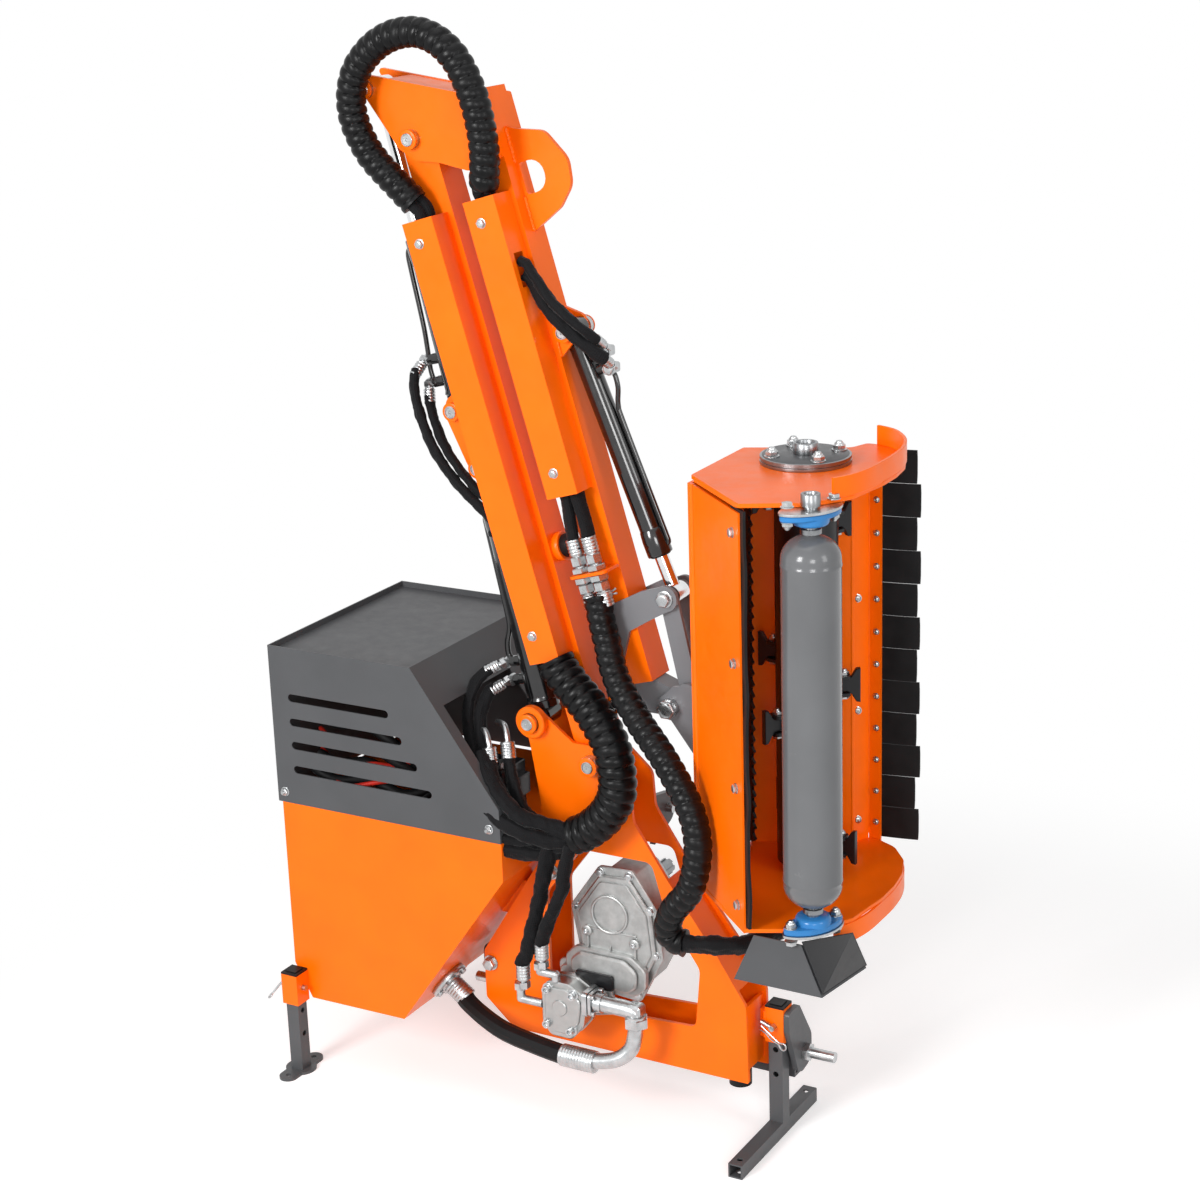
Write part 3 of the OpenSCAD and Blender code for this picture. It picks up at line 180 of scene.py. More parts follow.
def bare_metal(name, code, gloss, grain_mm, depth=0.1, spread=0.15):
    """Bare or plated metal: bright, a little clouded; grain_mm is its machining or plating texture."""
    mat, tree = new_material(name)
    place = put(tree, "ShaderNodeTexCoord").outputs["Object"]
    grain = put(tree, "ShaderNodeTexNoise", {"Scale": every(grain_mm * 2), "Detail": 4.0}, Vector=place)
    cloud = put(tree, "ShaderNodeTexNoise", {"Scale": every(16), "Detail": 3.0}, Vector=place)
    colour = put(tree, "ShaderNodeValToRGB",
                 {"stops": ((0.3, tone(code, 1 - spread)), (0.7, tone(code, 1 + spread)))}, Fac=cloud)
    rough = put(tree, "ShaderNodeMapRange", {"From Min": 0.3, "From Max": 0.7, "To Min": gloss,
                                             "To Max": gloss + 0.14}, Value=grain)
    bump = put(tree, "ShaderNodeBump", {"Strength": depth, "Distance": 0.2 * MM}, Height=grain)
    shader = put(tree, "ShaderNodeBsdfPrincipled", {"Metallic": 1.0}, Base_Color=colour, Roughness=rough,
                 Normal=bump)
    put(tree, "ShaderNodeOutputMaterial", None, Surface=shader)
    return mat


def rubber(name, code, rough_low=0.5, grain_mm=1.2, depth=0.3):
    """Moulded or calendered rubber and polyethylene: near black, dull, with a fine grain."""
    mat, tree = new_material(name)
    place = put(tree, "ShaderNodeTexCoord").outputs["Object"]
    bloom = put(tree, "ShaderNodeTexNoise", {"Scale": every(45), "Detail": 5.0}, Vector=place)
    colour = put(tree, "ShaderNodeValToRGB", {"stops": ((0.3, tone(code, 0.75)), (0.75, tone(code, 1.35)))},
                 Fac=bloom)
    rough = put(tree, "ShaderNodeMapRange", {"From Min": 0.3, "From Max": 0.75, "To Min": rough_low,
                                             "To Max": rough_low + 0.18}, Value=bloom)
    grain = put(tree, "ShaderNodeTexNoise", {"Scale": every(grain_mm * 2), "Detail": 2.0}, Vector=place)
    bump = put(tree, "ShaderNodeBump", {"Strength": depth, "Distance": 0.3 * MM}, Height=grain)
    shader = put(tree, "ShaderNodeBsdfPrincipled", {"Specular IOR Level": 0.18}, Base_Color=colour,
                 Roughness=rough, Normal=bump)
    put(tree, "ShaderNodeOutputMaterial", None, Surface=shader)
    return mat


def nylon_sleeve(name, code):
    """Woven nylon burst sleeve: tape-like weave, drawn at 4 mm a pick, soft wrinkles, matt, with painted shade
    and highlight on its folds.
    """
    mat, tree = new_material(name)
    uv = put(tree, "ShaderNodeUVMap").outputs["UV"]
    warp, weft = (put(tree, "ShaderNodeTexWave",
                      {"bands_direction": direction, "Scale": every(4) / 3.14, "Distortion": 1.2,
                       "Detail": 1.0, "Detail Scale": 2.0}, Vector=uv).outputs["Fac"] for direction in "XY")
    weave = put(tree, "ShaderNodeMath", {"operation": "MULTIPLY"}, i0=warp, i1=weft)
    place = put(tree, "ShaderNodeTexCoord").outputs["Object"]
    folds = put(tree, "ShaderNodeTexNoise", {"Scale": every(14), "Detail": 4.0, "Roughness": 0.6},
                Vector=place)
    # the wrinkles count three times as much as the weave
    height = put(tree, "ShaderNodeMath", {"operation": "MULTIPLY_ADD", 1: 3.0}, i0=folds, i2=weave)
    # the colour follows the same height: painted shade in the hollows of the folds, painted highlight on their
    # crests
    colour = put(tree, "ShaderNodeValToRGB", {"stops": ((1.0, tone(code, 0.6)), (2.6, tone(code, 1.9)))},
                 Fac=height)
    bump = put(tree, "ShaderNodeBump", {"Strength": 0.7, "Distance": 0.8 * MM}, Height=height)
    shader = put(tree, "ShaderNodeBsdfPrincipled",
                 {"Roughness": 0.7, "Specular IOR Level": 0.12, "Sheen Weight": 0.08, "Sheen Roughness": 0.4},
                 Base_Color=colour, Normal=bump)
    put(tree, "ShaderNodeOutputMaterial", None, Surface=shader)
    return mat


orange_paint = powder_coat("orange_powder_coat", "#FF6C00", gloss=0.33, coat=0.07)
grey_cover_paint = powder_coat("grey_powder_coat_cover", "#4E4F51", gloss=0.42, coat=0.06)
grey_link_paint = powder_coat("grey_powder_coat_links", "#707174", gloss=0.36)
dark_paint = powder_coat("dark_grey_powder_coat", "#4F5052", gloss=0.4, coat=0.15)
roller_paint = powder_coat("grey_gloss_roller", "#636466", gloss=0.2, coat=0.5)
black_paint = powder_coat("black_powder_coat", "#18181A", gloss=0.35)
barrel_enamel = enamel("black_gloss_enamel", "#0D0D0E")
chrome = bare_metal("hard_chrome", "#E6E7E8", 0.07, 0.6, depth=0.03, spread=0.04)
zinc = bare_metal("bright_zinc_plate", "#B9BBBC", 0.24, 0.8, depth=0.12)
steel = bare_metal("ground_steel", "#8E9092", 0.26, 0.7, depth=0.15)
die_cast = bare_metal("die_cast_aluminium", "#AFB0AF", 0.4, 1.6, depth=0.35, spread=0.12)
machined = bare_metal("turned_aluminium", "#ADAEAD", 0.28, 0.5, depth=0.1, spread=0.06)
blue_paint = powder_coat("blue_casting_paint", "#2E77B5", gloss=0.28, coat=0.3, peel=2.5)
rubber_sheet = rubber("sbr_rubber_sheet", "#161617", 0.42, 1.5)
hose_rubber = rubber("hose_cover_rubber", "#101011", 0.5, 1.0)
guard_plastic = rubber("polyethylene_spiral_guard", "#0B0B0C", 0.27, 2.0, depth=0.12)
cap_plastic = rubber("polyamide_cap", "#161617", 0.4, 1.0)
sleeve = nylon_sleeve("woven_nylon_sleeve", "#1B1B1D")
red_line = rubber("red_polyurethane_line", "#B3261B", 0.35, 0.8)

FINISH = {
    orange_paint: ["rear_plate", "front_plate", "edge_bands", "oil_tank", "leg_sockets", "boom_tube",
                   "boom_cover", "dipper_tube", "elbow_cheeks", "dipper_cover", "head_hood", "head_ends"],
    grey_cover_paint: ["tank_cover", "motor_guard"],
    grey_link_paint: ["dipper_end", "link_outer", "link_inner", "head_bracket"],
    dark_paint: ["headstock", "right_leg", "foot_leg"],
    roller_paint: ["roller"],
    black_paint: ["rotor", "head_motor"],
    barrel_enamel: ["lift_barrel", "reach_barrel", "tilt_barrel"],
    chrome: ["lift_rod", "reach_rod", "tilt_rod"],
    zinc: ["frame_pins", "hitch_pins", "suction_flange", "suction_pipe", "pump_elbows", "right_lock_pin",
           "left_lock_pin", "boom_pins", "dipper_pins", "hose_bulkhead"],
    steel: ["input_shaft", "flange_bearing"],
    die_cast: ["gearbox", "pump_adapter", "gear_pump"],
    blue_paint: ["roller_bearings"],
    rubber_sheet: ["curtain", "front_flaps", "rubber_stop"],
    cap_plastic: ["socket_caps", "pivot_cap"],
    hose_rubber: ["suction_hose"],
    guard_plastic: ["base_hose", "elbow_hose", "head_hose"],
    sleeve: ["tilt_hoses", "reach_hoses", "lift_hoses", "pump_hoses", "bulkhead_hoses"],
}
for finish, names in FINISH.items():
    for name in names:
        node = frame["nodes"][name]
        node.data.materials.clear()
        node.data.materials.append(finish)


# folded and cut sheet has a small radius along its edges
SHEET_PARTS = FINISH[orange_paint] + FINISH[grey_cover_paint] + FINISH[grey_link_paint] + FINISH[dark_paint]
for name in SHEET_PARTS:
    if name != "head_ends":
        bevel = frame["nodes"][name].modifiers.new("edge_radius", "BEVEL")
        bevel.width, bevel.segments = 0.9 * MM, 2
        bevel.limit_method, bevel.angle_limit = "ANGLE", math.radians(28)
        bevel.harden_normals = False

# ---- mesh code ----

class Piece:
    """Collects shapes in millimetres and makes one mesh object of them."""

    def __init__(self, name, finish, body):
        self.name, self.finish, self.body = name, finish, body
        self.points, self.faces, self.uvs = [], [], []

    def add(self, points, faces, place=None, uvs=None):
        base = len(self.points)
        self.points += [place @ Vector(p) if place else Vector(p) for p in points]
        self.faces += [[base + i for i in f] for f in faces]
        self.uvs += uvs if uvs else [(0.0, 0.0)] * len(points)
        return self

    def build(self, smooth=40.0, replaces=(), ride=True):
        mesh = bpy.data.meshes.new(self.name)
        mesh.from_pydata([p * MM for p in self.points], [], self.faces)
        mesh.update()
        layer = mesh.uv_layers.new(name="UVMap")
        for loop in mesh.loops:
            layer.data[loop.index].uv = self.uvs[loop.vertex_index]
        mesh.materials.append(self.finish)
        obj = bpy.data.objects.new(self.name, mesh)
        bpy.context.scene.collection.objects.link(obj)
        mesh.shade_smooth()
        mesh.set_sharp_from_angle(angle=math.radians(smooth))
        if ride:
            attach(obj, self.body)
        if replaces:
            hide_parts(*replaces)
        return obj


def turned(profile, sides=32):
    """Solid of revolution about Z from (radius, height) pairs, closed at both ends."""
    points, faces = [], []
    for r, z in profile:
        points += [(r * math.cos(2 * math.pi * k / sides), r * math.sin(2 * math.pi * k / sides), z)
                   for k in range(sides)]
    for i in range(len(profile) - 1):
        for k in range(sides):
            n = (k + 1) % sides
            faces.append([i * sides + k, i * sides + n, (i + 1) * sides + n, (i + 1) * sides + k])
    faces.append(list(range(sides))[::-1])
    last = (len(profile) - 1) * sides
    faces.append([last + k for k in range(sides)])
    return points, faces


def inset(outline, d):
    """The outline moved inwards by d; outlines run anticlockwise."""
    out, n = [], len(outline)
    for i in range(n):
        a, b, c = (Vector(outline[j % n][:2]) for j in (i - 1, i, i + 1))
        u, v = (b - a).normalized(), (c - b).normalized()
        nu, nv = Vector((-u.y, u.x)), Vector((-v.y, v.x))
        m = nu + nv
        m = m / max(m.length_squared / 2, 0.35)
        out.append(tuple(b + m * d))
    return out


def prism(outline, low, high, edge=0.8):
    """Extrusion of an outline along Z with its long edges rounded off."""
    n = len(outline)
    narrow = inset(outline, edge)
    rings = [(narrow, low), (outline, low + edge), (outline, high - edge), (narrow, high)]
    points = [(x, y, z) for ring, z in rings for x, y in (p[:2] for p in ring)]
    faces = [[i * n + k, i * n + (k + 1) % n, (i + 1) * n + (k + 1) % n, (i + 1) * n + k]
             for i in range(3) for k in range(n)]
    faces.append(list(range(n))[::-1])
    faces.append([3 * n + k for k in range(n)])
    return points, faces


def rounded(corners, steps=5):
    """Outline with rounded corners: each entry is (x, y) or (x, y, radius)."""
    out, n = [], len(corners)
    for i, b in enumerate(corners):
        if len(b) == 2 or b[2] <= 0:
            out.append((b[0], b[1]))
            continue
        a, c, p = Vector(corners[i - 1][:2]), Vector(corners[(i + 1) % n][:2]), Vector(b[:2])
        u, v = (a - p).normalized(), (c - p).normalized()
        half = math.acos(max(-1, min(1, u.dot(v)))) / 2
        centre = p + (u + v).normalized() * (b[2] / math.sin(half))
        start, end = p + u * (b[2] / math.tan(half)), p + v * (b[2] / math.tan(half))
        a0 = math.atan2(start.y - centre.y, start.x - centre.x)
        a1 = math.atan2(end.y - centre.y, end.x - centre.x)
        turn = (a1 - a0 + 3 * math.pi) % (2 * math.pi) - math.pi
        angles = [a0 + turn * k / steps for k in range(steps + 1)]
        out += [(centre.x + b[2] * math.cos(a), centre.y + b[2] * math.sin(a)) for a in angles]
    return out


def disc(r, sides=32):
    angles = [2 * math.pi * k / sides for k in range(sides)]
    return [(r * math.cos(a), r * math.sin(a)) for a in angles]


def block(lx, ly, low, high, edge, corner, steps=3):
    """Rounded block centred on X and Y."""
    corners = [(x * lx / 2, y * ly / 2, corner) for x, y in ((-1, -1), (1, -1), (1, 1), (-1, 1))]
    return prism(rounded(corners, steps), low, high, edge)


def hexagon(across):
    return disc(across / math.sqrt(3), 6)


def shift(x, y, z):
    return Matrix.Translation((x, y, z))


def spin(degrees):
    return Matrix.Rotation(math.radians(degrees), 4, "Z")


UPSIDE_DOWN = Matrix.Rotation(math.pi, 4, "X")


def facing(direction, at=(0, 0, 0), about=0.0):
    """Placement that turns +Z to a direction and moves the origin to a point."""
    turn = Vector((0, 0, 1)).rotation_difference(Vector(direction).normalized()).to_matrix().to_4x4()
    return Matrix.Translation(Vector(at)) @ turn @ spin(about)


def bolt(piece, place, size, washer, kind):
    """Bolt head or nut on a face, +Z outwards; size is the thread's diameter."""
    def shape(profile, sides):
        piece.add(*turned([(size * r, z + size * h + extra_mm) for r, h, extra_mm in profile], sides), place)

    z = 0.0
    if washer:
        piece.add(*turned([(size * 0.5, 0), (size * 1.05, 0), (size * 1.1, 0.3), (size * 1.1, size * 0.16),
                           (size * 1.02, size * 0.2), (size * 0.5, size * 0.2)], 24), place)
        z = size * 0.2
    if kind == "hex":
        piece.add(*prism(hexagon(size * 1.65), z, z + size * 0.65, size * 0.09), place)
        shape([(0.72, 0.65, -0.2), (0.66, 0.65, 0.25), (0.4, 0.65, 0.3)], 24)
    elif kind == "nut":
        piece.add(*prism(hexagon(size * 1.65), z, z + size * 0.62, size * 0.09), place)
        shape([(0.74, 0.62, -0.3), (0.68, 0.82, 0), (0.56, 0.92, 0), (0.5, 0.84, 0)], 24)
        shape([(0.48, 0, 0), (0.48, 1.07, 0), (0.4, 1.17, 0)], 16)
    elif kind == "cap":
        shape([(0.72, 0, 0), (0.75, 0, 0.4), (0.75, 1, -0.5), (0.66, 1, 0), (0.45, 1, 0), (0.42, 0.55, 0),
               (0.05, 0.55, 0)], 24)
    elif kind == "button":
        shape([(0.85, 0, 0), (0.86, 0, 0.5), (0.7, 0.36, 0), (0.42, 0.5, 0), (0.32, 0.5, 0), (0.3, 0.25, 0),
               (0.03, 0.25, 0)], 24)


def smooth_path(points, steps):
    """Smooth curve through route points."""
    p, out = [Vector(q) for q in points], []
    for i in range(len(p) - 1):
        a, b, c, d = p[max(i - 1, 0)], p[i], p[i + 1], p[min(i + 2, len(p) - 1)]
        for k in range(steps):
            t = k / steps
            out.append(b + 0.5 * t * ((c - a) + t * ((2 * a - 5 * b + 4 * c - d) + t * (3 * (b - c) + d - a))))
    out.append(p[-1])
    return out


def evenly(path, gap):
    """The same line with points a fixed distance apart."""
    out, left = [path[0].copy()], gap
    for a, b in zip(path, path[1:]):
        length = (b - a).length
        while length > 1e-9 and left <= length:
            a = a + (b - a) * (left / length)
            length = (b - a).length
            out.append(a.copy())
            left = gap
        left -= length
    if (out[-1] - path[-1]).length > gap * 0.3:
        out.append(path[-1].copy())
    return out


def tube(route, radius, gap=6.0, sides=16, steps=12, ends=True):
    """Tube along a route. radius is a number or a function of (distance, angle, share)."""
    line = evenly(smooth_path(route, steps), gap)
    n = len(line)
    ways = [(line[min(i + 1, n - 1)] - line[max(i - 1, 0)]).normalized() for i in range(n)]
    normal = Vector((0, 1, 0)) if abs(ways[0].y) < 0.9 else Vector((1, 0, 0))
    points, faces, uvs, run = [], [], [], 0.0
    mean = radius if isinstance(radius, (int, float)) else radius(0, 0, 0.5)
    for i, (p, way) in enumerate(zip(line, ways)):
        normal = (normal - way * normal.dot(way)).normalized()
        side = way.cross(normal)
        if i:
            run += (p - line[i - 1]).length
        for k in range(sides + 1):
            a = 2 * math.pi * k / sides
            r = radius if isinstance(radius, (int, float)) else radius(run, a % (2 * math.pi), i / (n - 1))
            points.append(p + normal * (r * math.cos(a)) + side * (r * math.sin(a)))
            uvs.append((a * mean * MM, run * MM))
    w = sides + 1
    for i in range(n - 1):
        for k in range(sides):
            faces.append([i * w + k, i * w + k + 1, (i + 1) * w + k + 1, (i + 1) * w + k])
    if ends:
        faces.append([k for k in range(sides)][::-1])
        faces.append([(n - 1) * w + k for k in range(sides)])
    return points, faces, uvs


def spiral(r, pitch, depth, seed=0.0):
    """Radius of a spiral guard: round bands with a sharp groove between the turns."""
    def at(run, angle, share):
        phase = run / pitch + angle / (2 * math.pi)
        turn = math.floor(phase)
        x = phase - turn
        lift = noise.noise(Vector((turn * 0.73 + seed, angle * 0.5, 0))) * 0.5
        band = (1 - abs(2 * x - 1) ** 3.0) ** 0.8
        return r - depth * (1 - band) - depth * 0.25 * (0.5 + lift)
    return at


def wrinkled(r, seed, amount=0.07, flat=0.05):
    """Radius of a woven sleeve: gathers along its length and slight flattening."""
    def at(run, angle, share):
        fold = noise.noise(Vector((run / 26 + seed, math.cos(angle) * 0.9, math.sin(angle) * 0.9 + seed)))
        fine = noise.noise(Vector((run / 9 + seed * 3, math.cos(angle) * 2.2, math.sin(angle) * 2.2)))
        return r * (1 + amount * fold + amount * 0.6 * fine + flat * math.cos(2 * angle + seed) - amount * 0.6)
    return at


# ---- hoses ----

def tubes(name, finish, body, parts, replaces=(), between=None, smooth=60.0):
    """One piece of several tubes; given between = (body a, body b, start, end), it rides on no body and keeps
    its place; the bodies and points in it are not used.
    """
    piece = Piece(name, finish, body)
    for points, faces, uvs in parts:
        piece.add(points, faces, None, uvs)
    obj = piece.build(smooth, replaces, ride=between is None)
    if between:
        a, b, start, end = between
        tuple(Vector(start) * MM)
        tuple(Vector(end) * MM)
        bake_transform(obj)
    return obj


def arm_route(points):
    return [arm(*p) for p in points]


def world_route(points):
    return [Vector(p) for p in points]


def cut(route, start, end, steps=12):
    """The stretch of a smooth route between two distances from its start."""
    line, run, out = evenly(smooth_path(route, steps), 4.0), 0.0, []
    for i, p in enumerate(line):
        if i:
            run += (p - line[i - 1]).length
        if start <= run <= end:
            out.append(p)
    return out[::4] + ([out[-1]] if (len(out) - 1) % 4 else [])


def length_of(route):
    line = smooth_path(route, 12)
    return sum((b - a).length for a, b in zip(line, line[1:]))


def strands(route, spread, r, count, seed, twist=0.6):
    """Sleeved hoses lying round a common line."""
    line = smooth_path(route, 3)
    out = []
    for j in range(count):
        path = []
        for i, p in enumerate(line):
            way = (line[min(i + 1, len(line) - 1)] - line[max(i - 1, 0)]).normalized()
            side = way.cross(Vector((0, 1, 0))).normalized()
            up = side.cross(way)
            a = 2 * math.pi * j / count + seed + twist * i / len(line)
            path.append(p + side * (spread * math.cos(a)) + up * (spread * math.sin(a)))
        out.append(tube(path, wrinkled(r, seed + j * 3.1), 5.0, 18, 8))
    return out


def ferrule(piece, at, way, r, length=36.0, nut=None):
    """Crimped hose end: pressed rings, then a hexagon nut beyond it."""
    place = facing(way, at)
    rings = [(r * 0.7, 0), (r + 1.6, 0.6), (r + 2.2, 2)]
    z = 4.0
    while z < length - 6:
        rings += [(r + 2.2, z), (r + 1.2, z + 1.4), (r + 1.2, z + 3.2), (r + 2.2, z + 4.6)]
        z += 6.6
    rings += [(r + 2.0, length - 2), (r + 0.6, length), (r * 0.6, length)]
    piece.add(*turned(rings, 28), place)
    if nut:
        piece.add(*turned([(r * 0.55, length - 1), (r * 0.55, length + 5)], 20), place)
        piece.add(*prism(hexagon(nut), length + 4, length + 4 + nut * 0.62, 1.2), place)


def elbow_pipe(piece, points, r):
    p, f, _ = tube(points, r, 3.0, 20, 10)
    piece.add(p, f)


# the routes are part.scad's, drawn for its boom of 1260 mm; the ones round the elbow move up with a
# longer boom
extra = BOOM_LEN - 1260
elbow_route = arm_route([(s, y, t + extra) for s, y, t in [
    (-12, -64, 1111.4), (-12, -64, 1126), (-45, -76, 1190), (-80, -84, 1262), (-87, -88, 1342),
    (-50, -90, 1409), (25, -88, 1446), (106, -86, 1438), (160, -84, 1386), (180, -82, 1305),
    (174, -80, 1216), (152, -76, 1152), (134.5, -64, 1132), (134.5, -64, 1117.4)]])
base_route = arm_route([
    (-4, -70, 242), (-2, -70, 228), (5, -72, 206), (27, -77, 166), (62, -86, 112), (87, -95, 38),
    (76, -100, -44), (37, -105, -90), (-19, -110, -117), (-77, -115, -122), (-120, -116, -108)])
head_route = world_route([
    (-333.8, -88, 1116.6), (-329.3, -89, 1101), (-322, -94, 1076), (-308, -99, 1031), (-280, -114, 962),
    (-222, -138, 896), (-148, -172, 838), (-83, -200, 764), (-59, -215, 694), (-73, -220, 611),
    (-117, -215, 550), (-132, -205, 502), (-105, -198, 481), (-51, -190, 484), (4, -150, 480),
    (40, -60, 480)])
tilt_routes = [arm_route(r) for r in (
    [(168, -62, 985), (176, -62, 983), (190, -62, 950), (208, -64, 906), (236, -64, 864), (260, -54, 828),
     (270, -30, 800), (262, 0, 781)],
    [(168, -60, 960), (175, -60, 957), (184, -58, 930), (200, -60, 884), (230, -58, 834), (262, -50, 788),
     (276, -28, 762), (263, 0, 748)])]
reach_routes = [arm_route(r) for r in (
    [(-141.5, 0, 847), (-150, -2, 847), (-162, -20, 838), (-166, -40, 800), (-163, -48, 740), (-150, -52, 670),
     (-118, -54, 600), (-58, -58, 515)],
    [(-146, 0, 802), (-152, -3, 801), (-154, -14, 786), (-148, -28, 750), (-136, -40, 690), (-112, -46, 630),
     (-84, -46, 580), (-57, -46, 552)])]
lift_routes = [world_route(r) for r in (
    [(-571, -20, 890.6), (-580, -21, 888), (-594, -34, 882), (-612, -60, 862), (-612, -90, 820),
     (-598, -112, 780), (-565, -130, 730), (-530, -146, 690), (-500, -150, 668)],
    [(-579, -20, 927.4), (-588, -21, 925), (-608, -36, 918), (-634, -62, 892), (-642, -88, 840),
     (-626, -110, 790), (-592, -134, 730), (-548, -150, 680), (-516, -154, 650)])]
pump_routes = [world_route(r) for r in (
    [(-431, -158, 560), (-440, -160, 520), (-454, -161, 464), (-472, -164, 390), (-492, -164, 336),
     (-498, -164, 312), (-498, -164, 298.4)],
    [(-388, -158, 556), (-394, -160, 520), (-409, -162, 484), (-432, -164, 430), (-447, -164, 388),
     (-450, -164, 366), (-450, -164, 352.4)])]


def joint_hoses():
    elbow_len, base_len, head_len = (length_of(r) for r in (elbow_route, base_route, head_route))
    bend = ("boom", "dipper", elbow_route[0], arm(88.8, -64, 1182 + extra))
    tubes("elbow_guard", guard_plastic, None,
          [tube(cut(elbow_route, 34, elbow_len - 30), spiral(29.5, 20, 4.6, 1.0), 2.6, 30)],
          ["elbow_hose"], bend)
    tubes("elbow_sleeves", sleeve, None,
          strands(cut(elbow_route, 0, 60), 10.5, 12.5, 3, 0.4)
          + strands(cut(elbow_route, elbow_len - 60, elbow_len), 10.5, 12.5, 3, 1.9), (), bend)
    tubes("base_guard", guard_plastic, None,
          [tube(cut(base_route, 14, base_len - 78), spiral(39.5, 21, 6.0, 5.0), 2.8, 34)],
          ["base_hose"], ("frame", "boom", arm(0, 0, -60), arm(0, 0, 180)))
    # the guard ends short of the bundle, and its hoses spread out of it
    tubes("base_guard_hoses", sleeve, "frame",
          strands(cut(base_route, base_len - 120, base_len), 17, 15.5, 4, 2.2))
    # spiral guard down to the turn, then a woven sleeve into the head
    bend = ("dipper", "head", head_route[2], head_route[8])
    tubes("head_guard", guard_plastic, None,
          [tube(cut(head_route, 0, head_len - 215), spiral(28, 21, 4.2, 9.0), 2.7, 28)], ["head_hose"], bend)
    tubes("head_sleeve", sleeve, None,
          [tube(cut(head_route, head_len - 250, head_len), wrinkled(21, 2.0, 0.22, 0.12), 4.0, 24)], (), bend)


def small_hoses():
    # name, routes, radius, seeds, lengths left free for the fittings at start and end, bodies, and two points
    # of the route; these last are passed on as between, which keeps the sleeve off any body
    for kind, routes, r, seeds, skip, leave, bodies, first, last in (
            ("tilt", tilt_routes, 13, (1.0, 4.0), 0, 44, ("dipper", "tilt_barrel"), 0, -2),
            ("reach", reach_routes, 12, (2.0, 7.0), 34, 0, ("boom", "reach_barrel"), -1, 0),
            ("lift", lift_routes, 13, (3.0, 8.0), 40, 0, ("frame", "lift_barrel"), -1, 0)):
        for i, (route, seed) in enumerate(zip(routes, seeds)):
            tubes(f"{kind}_sleeve_{i + 1}", sleeve, None,
                  [tube(cut(route, skip, length_of(route) - leave), wrinkled(r, seed, 0.2, 0.14), 4.0, 18)],
                  [f"{kind}_hoses"], (*bodies, route[first], route[last]))
    parts = []
    for r, seed in zip(pump_routes, (5.0, 6.0)):
        # the sleeves run on up behind the guard's end
        top = [r[0] + Vector((14, 4, 62)), r[0] + Vector((6, 2, 30))]
        parts.append(tube(top + cut(r, 0, length_of(r) - 40), wrinkled(16, seed, 0.22, 0.12), 4.0, 20))
    tubes("pump_sleeves", sleeve, "frame", parts, ["pump_hoses"])


# each hose of the bundle: two points measured from the guard's end, then three under the cover
BUNDLE = [
    ((26, 2, -12), (-14, -14, -22), (-520, -172, 596), (-566, -172, 622), (-620, -160, 640)),
    ((20, -6, -4), (-22, -26, -6), (-520, -176, 618), (-562, -168, 640), (-610, -150, 668)),
    ((18, 2, 8), (-24, -16, 12), (-516, -158, 650), (-548, -146, 700), (-566, -128, 752)),
    ((18, 8, 14), (-20, 0, 30), (-500, -132, 674), (-526, -118, 720), (-540, -104, 760)),
    ((20, 12, -2), (-30, 2, 14), (-514, -130, 648), (-560, -110, 676), (-600, -90, 700)),
    ((24, -4, 10), (-18, -24, 26), (-504, -164, 672), (-534, -160, 716), (-560, -150, 760)),
    ((96, -8, 10), (40, -18, 30), (-470, -176, 668), (-512, -178, 700), (-552, -166, 742), (-584, -140, 770)),
    ((90, -4, 0), (30, -30, 2), (-480, -184, 640), (-526, -184, 662), (-572, -172, 700), (-604, -150, 730)),
    ((60, 0, -26), (6, -22, -36), (-520, -178, 590), (-580, -178, 606), (-640, -160, 624)),
]


def bundle():
    """Sleeved hoses between the guard's lower end and the valves under the cover."""
    end = base_route[-1]
    routes = [[end + Vector(p) for p in r[:2]] + world_route(r[2:]) for r in BUNDLE]
    tubes("valve_sleeves", sleeve, "frame",
          [tube(r, wrinkled(15, 1.3 * i, 0.22, 0.14), 4.0, 20) for i, r in enumerate(routes)])
    ends = Piece("valve_hose_ends", zinc, "frame")
    # two of them end in crimped fittings with bent pipes
    for r, way in ((routes[2], (-0.3, 0.25, 1)), (routes[3], (-0.25, 0.3, 1))):
        at, way = r[-1], Vector(way).normalized()
        ferrule(ends, at - way * 6, way, 13, 34)
        elbow_pipe(ends, [at + way * 26, at + way * 44, at + way * 58 + Vector((-10, 8, 0)),
                          at + way * 60 + Vector((-34, 22, -4))], 6)
    ends.build()


